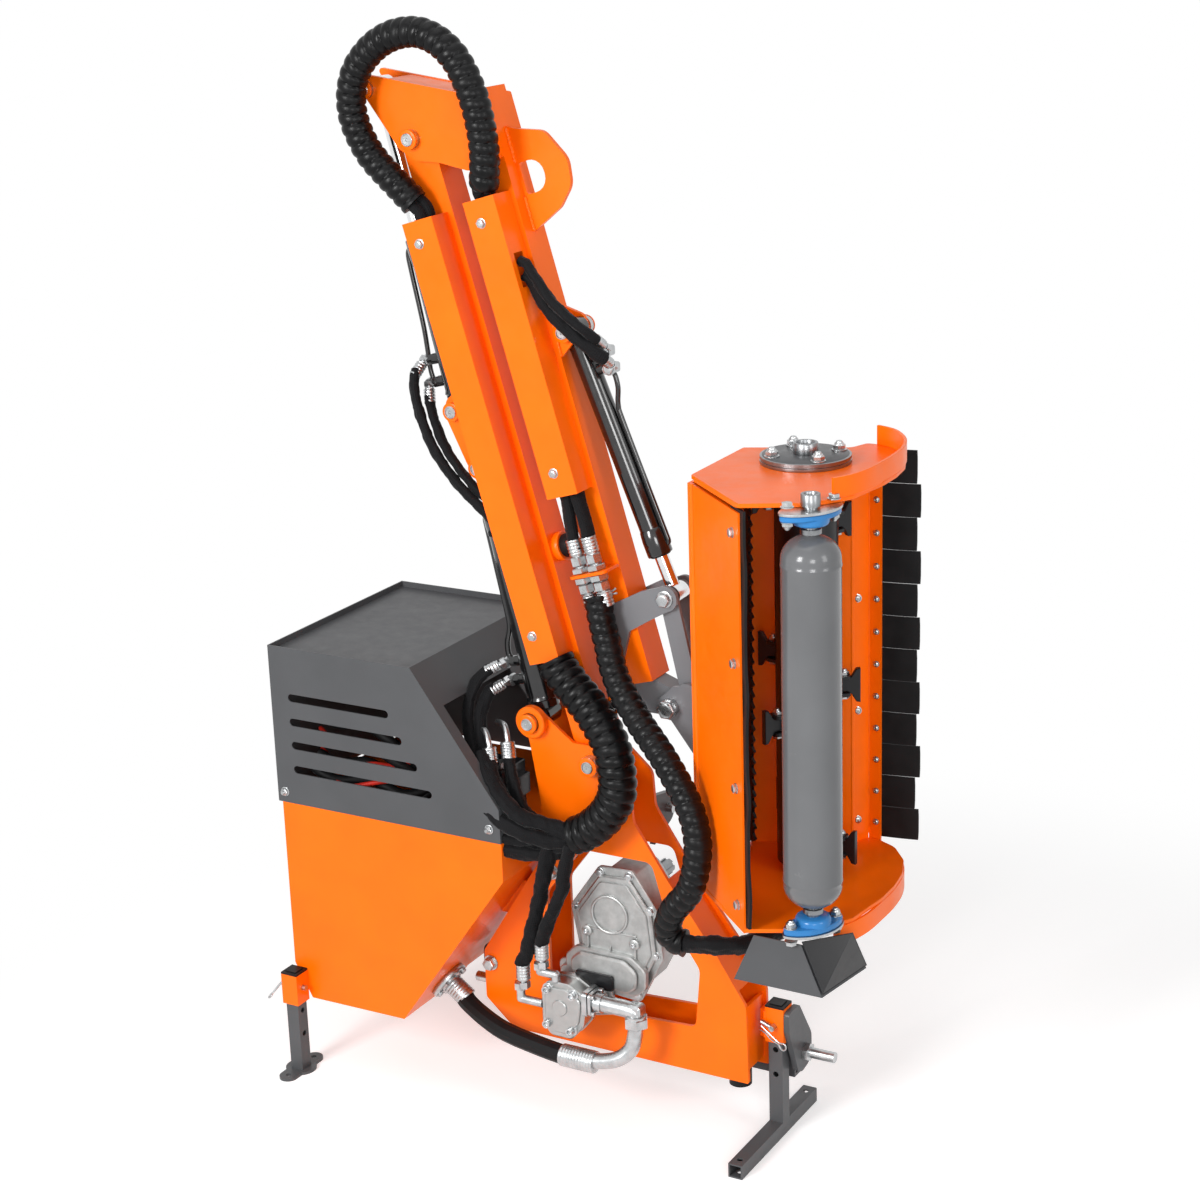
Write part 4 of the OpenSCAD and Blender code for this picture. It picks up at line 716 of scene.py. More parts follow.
def hose_fittings():
    """Elbow fittings on the cylinders' ports and on the pump."""
    for name, routes, body, length in (("lift_port_fittings", lift_routes, "lift_barrel", 40),
                                       ("reach_port_fittings", reach_routes, "reach_barrel", 34)):
        piece = Piece(name, zinc, body)
        for r in routes:
            line = evenly(smooth_path(r, 12), 2.0)
            k = int(length / 2)
            back = line[0] - (line[1] - line[0]).normalized() * 8
            elbow_pipe(piece, [back, line[0], line[int(k * 0.35)]], 7.5)
            piece.add(*turned([(4, -9), (10.5, -8.4), (11, -6), (11, 6), (10.5, 8.4), (4, 9)], 24),
                      facing((0, 1, 0.2), line[2]))
            ferrule(piece, line[k + 8], line[int(k * 0.4)] - line[k + 8], 9.5, 30, 19)
        piece.build()
    piece = Piece("tilt_port_fittings", zinc, "tilt_barrel")
    for r in tilt_routes:
        line = evenly(smooth_path(r, 12), 2.0)
        last = len(line) - 1
        ferrule(piece, line[last - 26], line[last - 8] - line[last - 26], 9, 28, 18)
        elbow_pipe(piece, [line[last - 10], line[last - 4], line[last]], 7)
        # banjo block with its bolt, square to the barrel
        piece.add(*block(20, 20, -13, 13, 1.5, 5), facing((0, 1, 0), line[last]))
        bolt(piece, facing((0, -1, 0), line[last] + Vector((0, -13, 0))), 12, True, "hex")
    piece.build()
    piece = Piece("pump_hose_ends", zinc, "frame")
    for r in pump_routes:
        line = evenly(smooth_path(r, 12), 2.0)
        ferrule(piece, line[len(line) - 23], (0, 0, -1), 12.5, 34, 24)
    piece.build()


joint_hoses()
small_hoses()
bundle()
hose_fittings()

# ---- drive: gearbox, adapter and pump ----

def to_rear(y):
    """Placement for outlines in the XZ plane that grow towards the rear, from a given Y."""
    return Matrix(((1, 0, 0, 0), (0, 0, -1, y), (0, 1, 0, 0), (0, 0, 0, 1)))


def scaled(outline, centre, k):
    return [(centre[0] + k * (p[0] - centre[0]), centre[1] + k * (p[1] - centre[1]), *(p[2:]))
            for p in outline]


REAR_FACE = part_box("rear_plate")[0][1] / MM
FRONT_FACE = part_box("front_plate")[1][1] / MM

# outlines in the frame's plane, part.scad's values: x, height, corner radius
CASING = [(-356, 546, 14), (-424, 450, 20), (-390, 273, 14), (-268, 264, 14), (-215, 368, 20), (-226, 474, 14),
          (-281, 550, 14)]
CASING_MID = (-318, 410)
CASING_BOLTS = [(-352, 533), (-286, 536), (-240, 470), (-230, 374), (-274, 280), (-384, 288), (-408, 448)]
CASING_BOSSES = [(-378, 408), (-270, 398)]
ADAPTER = [(-452, 330, 16), (-440, 200, 16), (-318, 230, 16), (-346, 348, 16)]
ADAPTER_FACE = -79.3
BEARING_COVER = [(-426, 322, 14), (-404, 298, 14), (-268, 286, 20), (-244, 306, 16), (-242, 346, 20),
                 (-276, 372, 22), (-404, 372, 20), (-426, 350, 14)]
PUMP_AT = (-401, 266)
PUMP_FACE = -119.3
PUMP_LENGTH = 56.0
# the pump's outline is measured from its shaft
PUMP = [(-28, -68, 16), (22, -68, 16), (50, -34, 20), (60, 30, 16), (20, 53, 18), (-30, 53, 18), (-45, 30, 16),
        (-45, -40, 22)]
PUMP_MID = (4, -6)
PUMP_SCREWS = [(-30, -40), (24, -46), (30, 34), (-28, 36)]


def gearbox():
    box = Piece("gearbox_housing", die_cast, "frame")
    at = to_rear(REAR_FACE)
    box.add(*prism(rounded(CASING), 0.3, 9.0, 1.5), at)
    body = rounded(scaled(CASING, CASING_MID, 0.88))
    box.add(*prism(body, 8.0, 17.0, 3.0), at)
    box.add(*prism(rounded(scaled(CASING, CASING_MID, 0.80)), 16.0, 20.0, 2.5), at)
    # the half that stands through the frame
    box.add(*prism(body, 0, 109, 2.5), to_rear(40))
    box.add(*turned([(30, 0), (44, 0.5), (46, 3), (46, 10), (30, 10)], 40), facing((0, 1, 0), (-316, 40, 469)))
    # ring, bar and two bosses cast into the face
    p, f = turned([(42, 19), (42, 24), (40.5, 25), (38.5, 25), (37, 24), (37, 19)], 56)
    box.add(p, f[:-2], at @ shift(-327, 450, 0))
    box.add(*block(118, 4, 19, 24, 1, 1.5), at @ shift(-326, 414, 0))
    for x, z in CASING_BOSSES:
        box.add(*turned([(11, 18), (11, 27), (9.5, 28), (3, 28)], 28), at @ shift(x, z, 0))
        box.add(*block(5, 62, 18, 26, 1.2, 2), at @ shift(x, z - 38, 0))
    box.add(*block(4, 26, 18, 24, 1, 1.5), at @ shift(-327, 368, 0))
    box.build(replaces=["gearbox"])
    bolts = Piece("gearbox_bolts", zinc, "frame")
    for x, z in CASING_BOLTS:
        bolt(bolts, at @ shift(x, z, 9), 9, True, "hex")
    for x, z in CASING_BOSSES:
        bolt(bolts, at @ shift(x, z, 27), 7, False, "cap")
    bolts.build()


def pump_adapter():
    bell = Piece("pump_adapter_housing", die_cast, "frame")
    at = to_rear(ADAPTER_FACE)
    bell.add(*prism(rounded(ADAPTER, 6), 0, 10, 2.0), at)
    bell.add(*prism(rounded(scaled(ADAPTER, (-396, 276), 0.86), 6), 9, 22, 3.0), at)
    bell.add(*turned([(46, 20), (46, 24), (41, 27), (39.5, 39), (42, 40), (30, 40)], 44),
             at @ shift(*PUMP_AT, 0))
    # wide bearing cover above the pump, with a black block on it that is painted shade for its recess
    bell.add(*prism(rounded(BEARING_COVER, 6), 8, 24, 2.5), at)
    bell.add(*prism(rounded(scaled(BEARING_COVER, (-336, 330), 0.82), 6), 23, 34, 4.0), at)
    bell.build(replaces=["pump_adapter"])
    # black block painted as the shade in the cover's recess
    recess_shade = Piece("coupling_window_shade", black_paint, "frame")
    recess_shade.add(*block(86, 34, 22, 41, 2, 6), at @ shift(-352, 312, 0))
    recess_shade.build()


def gear_pump():
    pump = Piece("gear_pump_housing", machined, "frame")
    at = to_rear(PUMP_FACE) @ shift(*PUMP_AT, 0)
    cover = PUMP_LENGTH - 20
    pump.add(*prism(rounded(PUMP, 5), 0.0, 13.0, 1.5), at)
    pump.add(*prism(rounded(scaled(PUMP, PUMP_MID, 0.95), 5), 12.0, cover + 1, 1.0), at)
    pump.add(*prism(rounded(PUMP, 5), cover, cover + 15, 2.5), at)
    pump.add(*prism(rounded(scaled(PUMP, PUMP_MID, 0.80), 5), cover + 14, PUMP_LENGTH, 2.0), at)
    pump.add(*prism(disc(17), PUMP_LENGTH - 1, PUMP_LENGTH + 3, 1.5), at)
    pump.build(replaces=["gear_pump"])
    screws = Piece("gear_pump_screws", zinc, "frame")
    for x, z in PUMP_SCREWS:
        bolt(screws, at @ shift(x, z, PUMP_LENGTH - 4.7), 11, True, "cap")
    # suction flange on the pump's side
    side = facing((1, 0, 0), (PUMP_AT[0] + 56, SUCTION_CORNER.y, SUCTION_CORNER.z))
    screws.add(*block(52, 52, -6, 6, 1.2, 8, 5), side)
    screws.add(*block(48, 48, 7, 14, 1.2, 8, 5), side)
    for x in (-18, 18):
        for z in (-18, 18):
            bolt(screws, side @ shift(x, z, 14), 7, False, "cap")
    screws.build()


# elbow of the suction pipe beside the pump, and the tank's sloping side with its flange
SUCTION_CORNER = Vector((-240, -150, 284))
SLOPE_FOOT, SLOPE_TOP = Vector((-770, 167)), Vector((-509.5, 527))
FLANGE_AT = Vector((-728, -91, 225))


def suction():
    line = Piece("suction_fittings", zinc, "frame")
    corner = SUCTION_CORNER
    # forged elbow, union nut and bent pipe
    elbow_pipe(line, [corner + Vector((x, 0, z)) for x, z in
                      ((-98, 0), (-60, 0), (-22, 0), (-3, -3), (0, -22), (0, -34))], 17)
    line.add(*turned([(14, -46), (20, -45), (20, -30), (19, -29), (14, -29)], 32),
             facing((-1, 0, 0), corner + Vector((-118, 0, 0))))
    line.add(*block(34, 34, -13, 17, 4, 9), facing((0, 1, 0), corner + Vector((-2, 0, -2))))
    below = shift(corner.x, corner.y, 0)
    line.add(*prism(hexagon(44), 250, 272, 2.0), below)
    line.add(*turned([(17, 270), (21, 271), (21, 276), (17, 277)], 32), below)
    elbow_pipe(line, [(-390, -170, 160), (-366, -170, 160), (-320, -170, 164), (-275, -166, 178),
                      (-248, -156, 205), (-240, -150, 252)], 16)
    ferrule(line, (-402, -170, 160), (1, 0, 0), 21, 78)
    line.build(replaces=["suction_pipe"])
    along = SLOPE_TOP - SLOPE_FOOT
    normal = Vector((along.y, 0, -along.x)).normalized()
    flange = Piece("suction_flange_plate", zinc, "frame")
    at = facing(normal, FLANGE_AT, 12)
    flange.add(*turned([(30, 0.3), (43.2, 0.4), (44, 1.5), (44, 11), (43, 12.3), (26, 12.3)], 48), at)
    flange.add(*turned([(26, 12), (26, 15), (24, 17), (22, 17)], 40), at)
    for k in range(6):
        bolt(flange, at @ spin(60 * k) @ shift(34, 0, 12.3), 7, True, "hex")
    ferrule(flange, FLANGE_AT + normal * 16, normal, 20.5, 46)
    flange.build(replaces=["suction_flange"])


gearbox()
pump_adapter()
gear_pump()
suction()

# ---- frame, cover and legs ----

def weld(piece, a, b, r, seed):
    """Ripple of a weld bead along a straight joint."""
    def bead(run, angle, share):
        return r * (0.78 + 0.22 * abs(math.sin(run / 2.6)) + 0.12 * noise.noise(Vector((run / 7, seed, 0))))
    a, b = Vector(a), Vector(b)
    p, f, _ = tube([a, a.lerp(b, 0.5), b], bead, 1.6, 10, 8)
    piece.add(p, f)


boss_rings = {}


def pin_end(piece, at, way, r):
    """Faced end of a 25 mm pin with its centre drilling, in a painted ring that covers the step behind it."""
    ring = turned([(12.6, -0.6), (r + 1.2, -0.6), (r + 1.2, 2.4), (r + 0.2, 3.2), (12.6, 3.2)], 36)
    boss_rings.setdefault(piece.body, []).append((*ring, facing(way, at)))
    piece.add(*turned([(8, 0), (12.5, 0), (12.5, 5.4), (11.6, 6.2), (10.2, 6.2), (9.4, 5.2), (3.4, 5.0),
                       (2.4, 3.4), (0.2, 3.4)], 36), facing(way, at))


def build_boss_rings():
    for body, rings in boss_rings.items():
        piece = Piece(f"{body}_pin_bosses", orange_paint, body)
        for ring in rings:
            piece.add(*ring)
        piece.build()


def clip(piece, at, along, across, size, r=1.7):
    """Spring clip bent from round wire: one straight leg, one waved leg, round eye."""
    u, v = Vector(along).normalized(), Vector(across).normalized()
    shape = [(-34, 3), (-10, 2), (14, 2), (30, 4), (42, 12), (50, 6), (48, -6), (38, -9), (26, -4), (14, -7),
             (0, -9), (-14, -6), (-26, -9), (-34, -12)]
    p, f, _ = tube([Vector(at) + (u * x + v * y) * size for x, y in shape], r, 2.0, 8, 6)
    piece.add(p, f)


def frame_parts():
    lift_at = joint_at("lift_barrel_turn")
    # part.scad's places on the two plates and on the cover's lower rim: x, height
    plate_bolts = ((-628, 273), (-470, 509))
    cover_bolts = ((-536, 636), (-1036, 632))
    ring = Piece("lift_pin_boss", orange_paint, "frame")
    p, f = turned([(20.4, 0.2), (33, 0.2), (33, 15), (31, 17), (21.5, 17), (20.4, 16), (20.4, 0.2)], 48)
    ring.add(p, f[:-2], facing((0, -1, 0), (lift_at.x, REAR_FACE, lift_at.z)))
    weld(ring, (-66, REAR_FACE + 8, 292), (-56, REAR_FACE + 8, 150), 3.2, 0)
    weld(ring, (-620, REAR_FACE + 10, 303), (-508, REAR_FACE + 10, 492), 3.2, 1)
    # weld of the right leg's socket on the plates' edge
    weld(ring, (-21, -19, 216), (-21, -19, 274), 4, 4)
    ring.build()
    pins = Piece("frame_pin_ends", zinc, "frame")
    for at, y in ((lift_at, REAR_FACE - 24), (ROOT, REAR_FACE - 16), (ROOT, FRONT_FACE + 14),
                  (lift_at, FRONT_FACE + 10)):
        pin_end(pins, (at.x, y, at.z), (0, math.copysign(1, y), 0), 19)
    for x, z in plate_bolts:
        bolt(pins, facing((0, -1, 0), (x, REAR_FACE - 7.5, z)), 14, False, "hex")
        pins.add(*turned([(9, 0.2), (16, 0.2), (16.5, 1), (16.5, 3), (9, 3)], 32),
                 facing((0, -1, 0), (x, REAR_FACE, z)))
    rear, front = (corner[1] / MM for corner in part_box("tank_cover"))
    for x, z in cover_bolts:
        bolt(pins, facing((0, -1, 0), (x, rear, z)), 9, True, "nut")
        bolt(pins, facing((0, 1, 0), (x, front, z)), 9, True, "nut")
    pins.build()


def inside_cover():
    """Valve block and pipes that show through the slots and the mouth."""
    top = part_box("oil_tank")[1][2] / MM
    sections = [-700 + 38 * k for k in range(4)]
    valve = Piece("valve_block", black_paint, "frame")
    caps = Piece("valve_caps", zinc, "frame")
    for x in sections:
        valve.add(*block(34, 90, top + 3, top + 104, 2, 4), shift(x, -40, 0))
        caps.add(*prism(hexagon(22), top + 104, top + 118, 1), shift(x, -62, 0))
        caps.add(*prism(hexagon(26), 0, 12, 1), facing((0, -1, 0), (x, -85, top + 60)))
    valve.add(*block(190, 60, top + 40, top + 84, 2, 4), shift(-644, -40, 0))
    valve.build()
    caps.build()
    tubes("cover_hoses", hose_rubber, "frame",
          [tube([(-1000 + 12 * i, -150, top + z + 16), (-930, -160 + 6 * i, top + z),
                 (-850, -150, top + z + 14), (-770, -140, top + z * 0.8), (-716, -96, top + 60)], 11, 5.0, 16)
           for i, z in enumerate((18, 52, 88, 128, 170))])
    tubes("cover_pilot_lines", red_line, "frame",
          [tube([(-990, -120, top + z), (-900, -172, top + z - 8), (-820, -166, top + z + 10),
                 (-730, -110, top + 80)], 5, 4.0, 12) for z in (60, 100, 146)])


def leg_parts():
    """Spring clips through the two lock pins."""
    for name, at, along, across, size in (
            ("right_lock_pin", (4, -44, 236), (0.8, -0.15, -0.45), (0.4, -0.2, 0.9), 0.8),
            ("left_lock_pin", (-1060, -236, 200), (-0.5, -0.4, -0.7), (0.7, -0.6, 0.3), 0.7)):
        wire = Piece(f"{name}_clip", zinc, name)
        clip(wire, at, along, across, size)
        wire.build()


# ---- boom and dipper ----

# part.scad's cylinders: foot and rod eye (across, along), diameter, barrel length, eye radius, and the
# hard line's radius
CYLINDERS = {
    "lift": ((-105, 106), (-73, 620), 63, 405, 22, 6.0),
    "reach": ((-93.5, 740), (-69, BOOM_LEN + 114), 52, 318, 22, 5.0),
    "tilt": ((204, BOOM_LEN - 424), (263, BOOM_LEN - 959), 44, 436, 20, 5.0),
}


def boom_parts():
    screws = Piece("boom_cover_screws", zinc, "boom")
    for s, t in ((-20, 1067 + extra), (-22, 283)):
        bolt(screws, facing((0, -1, 0), arm(s, -91.7, t)), 9, True, "hex")
    # the lift rod's pin and the reach cylinder's foot pin
    for s, t in (CYLINDERS["lift"][1], CYLINDERS["reach"][0]):
        for side in (-1, 1):
            pin_end(screws, arm(s, side * 43, t), (0, side, 0), 17.5)
    screws.build()
    stop = Piece("stop_boss", orange_paint, "boom")
    rest = facing(OUT, arm(35.3, 0, 432))
    stop.add(*turned([(18, 0), (29, 0), (29.5, 1), (29.5, 12), (28, 14), (18, 14)], 40), rest)
    for side in (-1, 1):
        weld(stop, arm(-35, side * 30, 580), arm(-35, side * 30, 786), 3.4, side)
    stop.build()
    buffer = Piece("stop_rubber", rubber_sheet, "boom")
    buffer.add(*turned([(18, 13.5), (22.5, 14), (23.5, 16), (23.5, 34), (22, 37.5), (19, 39), (8, 39)], 40),
               rest)
    buffer.build(replaces=["rubber_stop"])


def hard_line(name, body):
    """The line's distances along the barrel and off its skin, from the foot's port to the gland."""
    if name == "reach":
        return [(66, 26), (86, 27), (126, 22), (176, 17), (body - 40, 13), (body - 8, 11), (body + 4, 6),
                (body + 7, -3)]
    port = {"lift": 120, "tilt": 100}[name]
    return [(port, 22), (port + 10, 26), (port + 34, 22), (port + 64, 9), (port + 100, 6), (body - 50, 6),
            (body - 12, 6), (body + 4, 5), (body + 8, -3)]


def cylinder_parts():
    """Hard lines, gland rings and weld collars on the three cylinders."""
    for name, (foot, far, diameter, body, eye, line_r) in CYLINDERS.items():
        way = (Vector(far) - Vector(foot)).normalized()
        axis = OUT * way.x + UP * way.y
        side = UP * way.x - OUT * way.y
        origin = arm(foot[0], 0, foot[1])
        along = facing(axis, origin)
        r = diameter / 2
        rings = Piece(f"{name}_barrel_collars", barrel_enamel, f"{name}_barrel")
        rings.add(*turned([(r * 0.8, eye + 4), (r - 3, eye + 6), (r + 2.2, eye + 11), (r + 0.6, eye + 16),
                           (r + 0.2, eye + 18), (r * 0.8, eye + 18)], 40), along)
        rings.add(*turned([(r, body - 30), (r + 1.2, body - 28), (r + 3.0, body - 10), (r + 3.2, body + 20),
                           (r + 2.0, body + 22.6), (r * 0.62, body + 22.6)], 44), along)
        route = [origin + axis * z + side * (r + off) for z, off in hard_line(name, body)]
        p, f, _ = tube(route, line_r, 3.0, 14)
        rings.add(p, f)
        rings.build()
        wiper = Piece(f"{name}_rod_wiper", rubber_sheet, f"{name}_barrel")
        wiper.add(*turned([(14.6, body + 22), (20, body + 22), (20, body + 24.5), (17, body + 26),
                           (14.6, body + 26)], 36), along)
        wiper.build()


# the hose bulkhead's place along the arm, and its two lines across it
BRACKET = BOOM_LEN - 882
LINES = (115, 150)


def dipper_pins():
    screws = Piece("dipper_cover_screws", zinc, "dipper")
    for s, t in ((128, 1072 + extra), (130, 586 + extra)):
        bolt(screws, facing((0, -1, 0), arm(s, -91.7, t)), 9, True, "hex")
    # elbow, reach rod, tilt foot and head pins: across, along, half length, ring radius
    for s, t, y, r in ((0, BOOM_LEN, 62, 18), (-69, BOOM_LEN + 114, 59, 17), (204, BOOM_LEN - 424, 44, 18),
                       (100, BOOM_LEN - 1143, 56, 18)):
        for side in (-1, 1):
            pin_end(screws, arm(s, side * y, t), (0, side, 0), r)
    for side in (-1, 1):
        bolt(screws, facing((0, side, 0), arm(210, side * 55.5, BOOM_LEN - 1169)), 20, False, "hex")
    screws.build()


def bulkhead():
    """Two lines of fittings through their bracket, and the hoses at both ends."""
    plate = Piece("bulkhead_plate", orange_paint, "dipper")
    outline = rounded([(-50, -92, 12), (35, -92, 12), (35, -36, 2), (-50, -36, 2)])
    plate.add(*prism(outline, 0, 6, 0.8), ARM @ shift(145, 0, BRACKET))
    weld(plate, arm(95, -36, BRACKET), arm(178, -36, BRACKET), 3.4, 2)
    # beads at both ends of the lifting eye and along the tilt cylinder's lugs
    for side in (-1, 1):
        for y, start, end, r, seed in ((6, 30, 98, 4.6, 7 + side), (6, 228, 162, 4.6, 9 + side),
                                       (33, 382, 466, 3.2, 3)):
            weld(plate, arm(181, side * y, BOOM_LEN - start), arm(181, side * y, BOOM_LEN - end), r, seed)
    plate.build()
    fit = Piece("bulkhead_fittings", zinc, "dipper")
    for s in LINES:
        at = facing(UP, arm(s, -68, BRACKET))
        fit.add(*turned([(8, -36), (11, -35.5), (11, 42), (8, 43)], 28), at)
        for low, high, flat, chamfer in ((-34, -15.5, 28, 1.6), (-14.5, -0.4, 34, 2.0), (6.4, 18, 34, 2.0),
                                         (21, 40, 28, 1.6)):
            fit.add(*prism(hexagon(flat), low, high, chamfer), at)
        for low in (18.6, 19.6, 41):
            fit.add(*turned([(9, low), (12.4, low + 0.2), (12.4, low + 0.9), (9, low + 1.1)], 28), at)
        ferrule(fit, arm(s, -68, BRACKET + 74), -UP, 13, 32)
        ferrule(fit, arm(s, -68, BRACKET - 66), UP, 13, 30)
    fit.build(replaces=["hose_bulkhead"])
    tubes("bulkhead_sleeves", sleeve, "dipper", [
        tube([arm(top, -61, BOOM_LEN - 700), arm(top, -62, BOOM_LEN - 734), arm(s + 2, -66, BOOM_LEN - 790),
              arm(s, -68, BRACKET + 62), arm(s, -68, BRACKET + 52)], wrinkled(14, s, 0.12, 0.12), 3.5, 20)
        for s, top in zip(LINES, (122, 149))], ["bulkhead_hoses"])
    tubes("guard_neck_hoses", hose_rubber, "dipper", [
        tube([arm(s, -68, BRACKET - 44), arm(s, -68, BRACKET - 66), arm(s * 0.5 + 66, -72, BRACKET - 92)],
             11.5, 4.0, 18) for s in LINES])


def dipper_clip():
    wire = Piece("dipper_spring_clip", zinc, "dipper")
    clip(wire, arm(152, -60, 332), (-0.9, 0, -0.35), (0.3, 0, -0.9), 0.62, 2.2)
    wire.build()


def link_bolts():
    """Through the outer link at the tilt rod's eye."""
    s, t = CYLINDERS["tilt"][1]
    heads = Piece("link_bolts", zinc, "link_outer")
    for side in (-1, 1):
        bolt(heads, facing((0, side, 0), arm(s, side * 44, t)), 15, True, "hex")
    heads.build()


# ---- head ----

# half the head's length over its end plates, their thickness, and half the length of the hood between them
HALF = 408.0
END_T = 8
HOOD_HALF = 392.0
HEAD = Matrix.Translation(HEAD_MID)
BOTTOM = HEAD @ Matrix.Scale(-1, 4, (0, 0, 1))
# in the head's own plane, from the rotor's axis: both edges of the sloping panel, the roller's axis, the
# skid's line and the end plates' outline with its corner radii
PANEL_LOW, PANEL_HIGH = Vector((17, -317)), Vector((-146, -172))
ROLLER_AT = (132, -264)
ROLLER_HALF = 353.0
SKID = [(158, -225), (177, -188), (188, -138), (190, -78), (189, -18), (180, 42), (158, 100), (117, 152),
        (72, 174)]
END_PLATE = [(-152, -167, 8), (17, -317, 6), (129, -263, 16), (177, -188, 60), (190, -78, 80), (189, -18, 80),
             (180, 42, 80), (158, 100, 50), (117, 152, 50), (72, 174, 20), (47, 174, 10), (33, 132, 20),
             (-156, 55, 8)]
# the row of front flaps
FLAPS = 12
FLAP_PITCH = 796.0 / FLAPS
FLAP_START = -398


def on_head(x, y, z):
    return HEAD_MID + Vector((x, y, z))


def turned_round(faces):
    return [list(reversed(q)) for q in faces]


def add_end(piece, shape, side, place=Matrix.Identity(4)):
    """Adds a shape to the head's upper end (side 1) or, mirrored, to its lower end (side -1)."""
    points, faces = shape
    piece.add(points, faces if side > 0 else turned_round(faces), (HEAD if side > 0 else BOTTOM) @ place)


def end_bolt(piece, side, place, size, kind):
    first = len(piece.faces)
    bolt(piece, (HEAD if side > 0 else BOTTOM) @ place, size, True, kind)
    if side < 0:
        piece.faces[first:] = turned_round(piece.faces[first:])


def end_plates():
    ends = Piece("head_end_plates", orange_paint, "head")
    path = evenly(smooth_path([(x, y, 0) for x, y in SKID], 10), 9.0)
    inner = []
    for i, p in enumerate(path):
        way = (path[min(i + 1, len(path) - 1)] - path[max(i - 1, 0)]).normalized()
        inner.append(p + Vector((-way.y, way.x, 0)) * 6)
    band = [(p.x, p.y) for p in path + inner[::-1]]
    for shape in (prism(rounded(END_PLATE, 8), HALF - END_T, HALF, 0.9),
                  prism(band, HALF + 0.2, HALF + 38, 0.8)):
        for side in (1, -1):
            add_end(ends, shape, side)
    for side in (-1, 1):
        for a, b in (((-150, -160), (-154, 48)), ((-140, -176), (10, -308))):
            z = side * (HALF - END_T)
            weld(ends, on_head(*a, z), on_head(*b, z), 2.6, side)
    ends.build(replaces=["head_ends"])


def hood_folds():
    """The hood is one folded sheet: rounded folds close the corners between its panels."""
    folds = Piece("head_hood_folds", orange_paint, "head")
    top = HOOD_HALF - 0.4
    for x, y, r in ((-156, 54, 5.5), (-150, -168, 5.0), (32.5, 136.5, 3.6), (49.5, 178.5, 3.4)):
        folds.add(*turned([(1, -top), (r - 0.6, -top), (r, 0.6 - top), (r, top - 0.6), (r - 0.6, top),
                           (1, top)], 20), HEAD @ shift(x, y, 0))
    folds.build()


def head_bolts():
    bolts = Piece("head_panel_bolts", zinc, "head")
    # along the rubber sheet, through the sloping panel, with their nuts behind it
    e = (PANEL_LOW - PANEL_HIGH).normalized()
    out = Vector((e.y, -e.x))
    front, back = PANEL_LOW - e * 26 + out * 0.2, PANEL_LOW - e * 26 - out * 11
    for z in (350, 107, -132, -362):
        bolt(bolts, facing((*out, 0), on_head(*front, z)), 9, True, "hex")
        bolt(bolts, facing((*-out, 0), on_head(*back, z)), 9, True, "nut")
    # bolts of the inner wear plate
    for z in (106, -124, -354):
        bolt(bolts, facing((0.4, -0.9, 0), on_head(38, 148, z)), 8, True, "button")
    # flap screws on the front strip
    for i in range(FLAPS):
        z = FLAP_START + (i + 0.5) * FLAP_PITCH
        bolt(bolts, facing((0, 1, 0), on_head(66, 185, z)), 6, True, "button")
        bolt(bolts, facing((0, -1, 0), on_head(66, 175.6, z)), 6, True, "button")
    bolts.build()


def counter_blade():
    """Toothed blade on the inner face of the hood's corner."""
    comb = Piece("counter_blade", black_paint, "head")
    root, inward, across = (-146, 46), (0.8, -0.6), (0.6, 0.8)
    teeth = 34
    step = 2 * HOOD_HALF / teeth
    outline = [(0.0, -HOOD_HALF)]
    for k in range(teeth):
        outline += [(x, -HOOD_HALF + step * (k + share))
                    for x, share in ((16.0, 0.12), (27.0, 0.5), (16.0, 0.88))]
    outline.append((0.0, HOOD_HALF))
    comb.add(*prism(outline, 0, 6, 0.5), HEAD @ Matrix((
        (inward[0], 0, -across[0], root[0]), (inward[1], 0, -across[1], root[1]), (0, 1, 0, 0), (0, 0, 0, 1))))
    comb.build()


def guard_painted_shade():
    """Black sheet on the motor guard's far side, taken from the guard's own corners: painted shade on that
    face of the guard.
    """
    shade_sheet = Piece("motor_guard_painted_shade", black_paint, "head")
    low = -HALF - 0.3
    base = low - 93
    corners = [Vector(v) for v in ((124, -300, low), (192, -224, low), (192, -160, base), (169, -308, base))]
    a, b, c = corners[:3]
    normal = (b - a).cross(c - a).normalized()
    normal = normal if normal.y < 0 or normal.x > 0 else -normal
    faces = [[3, 2, 1, 0], [4, 5, 6, 7]] + [[i, (i + 1) % 4, 4 + (i + 1) % 4, 4 + i] for i in range(4)]
    # a thin black sheet just off the guard's shaded face: painted shade
    shade_sheet.add([HEAD_MID + v + normal * k for k in (2.4, 3.6) for v in corners], faces)
    shade_sheet.build()


def thick_sheet(piece, rows, columns, point, flip):
    """Sheet of two layers closed along its rim; point(layer, row, column) gives its corners."""
    w, full = columns + 1, (columns + 1) * (rows + 1)
    points = [point(layer, j, i) for layer in (0, 1) for j in range(rows + 1) for i in range(w)]
    faces = []
    for j in range(rows):
        for i in range(columns):
            q = [j * w + i, j * w + i + 1, (j + 1) * w + i + 1, (j + 1) * w + i]
            faces += [q[::-1], [full + k for k in q]]
    rim = list(range(w)) + [j * w + columns for j in range(1, rows + 1)]
    rim += [rows * w + i for i in range(columns - 1, -1, -1)] + [j * w for j in range(rows - 1, 0, -1)]
    faces += [[a, b, full + b, full + a] for a, b in zip(rim, rim[1:] + rim[:1])]
    piece.add(points, turned_round(faces) if flip else faces)


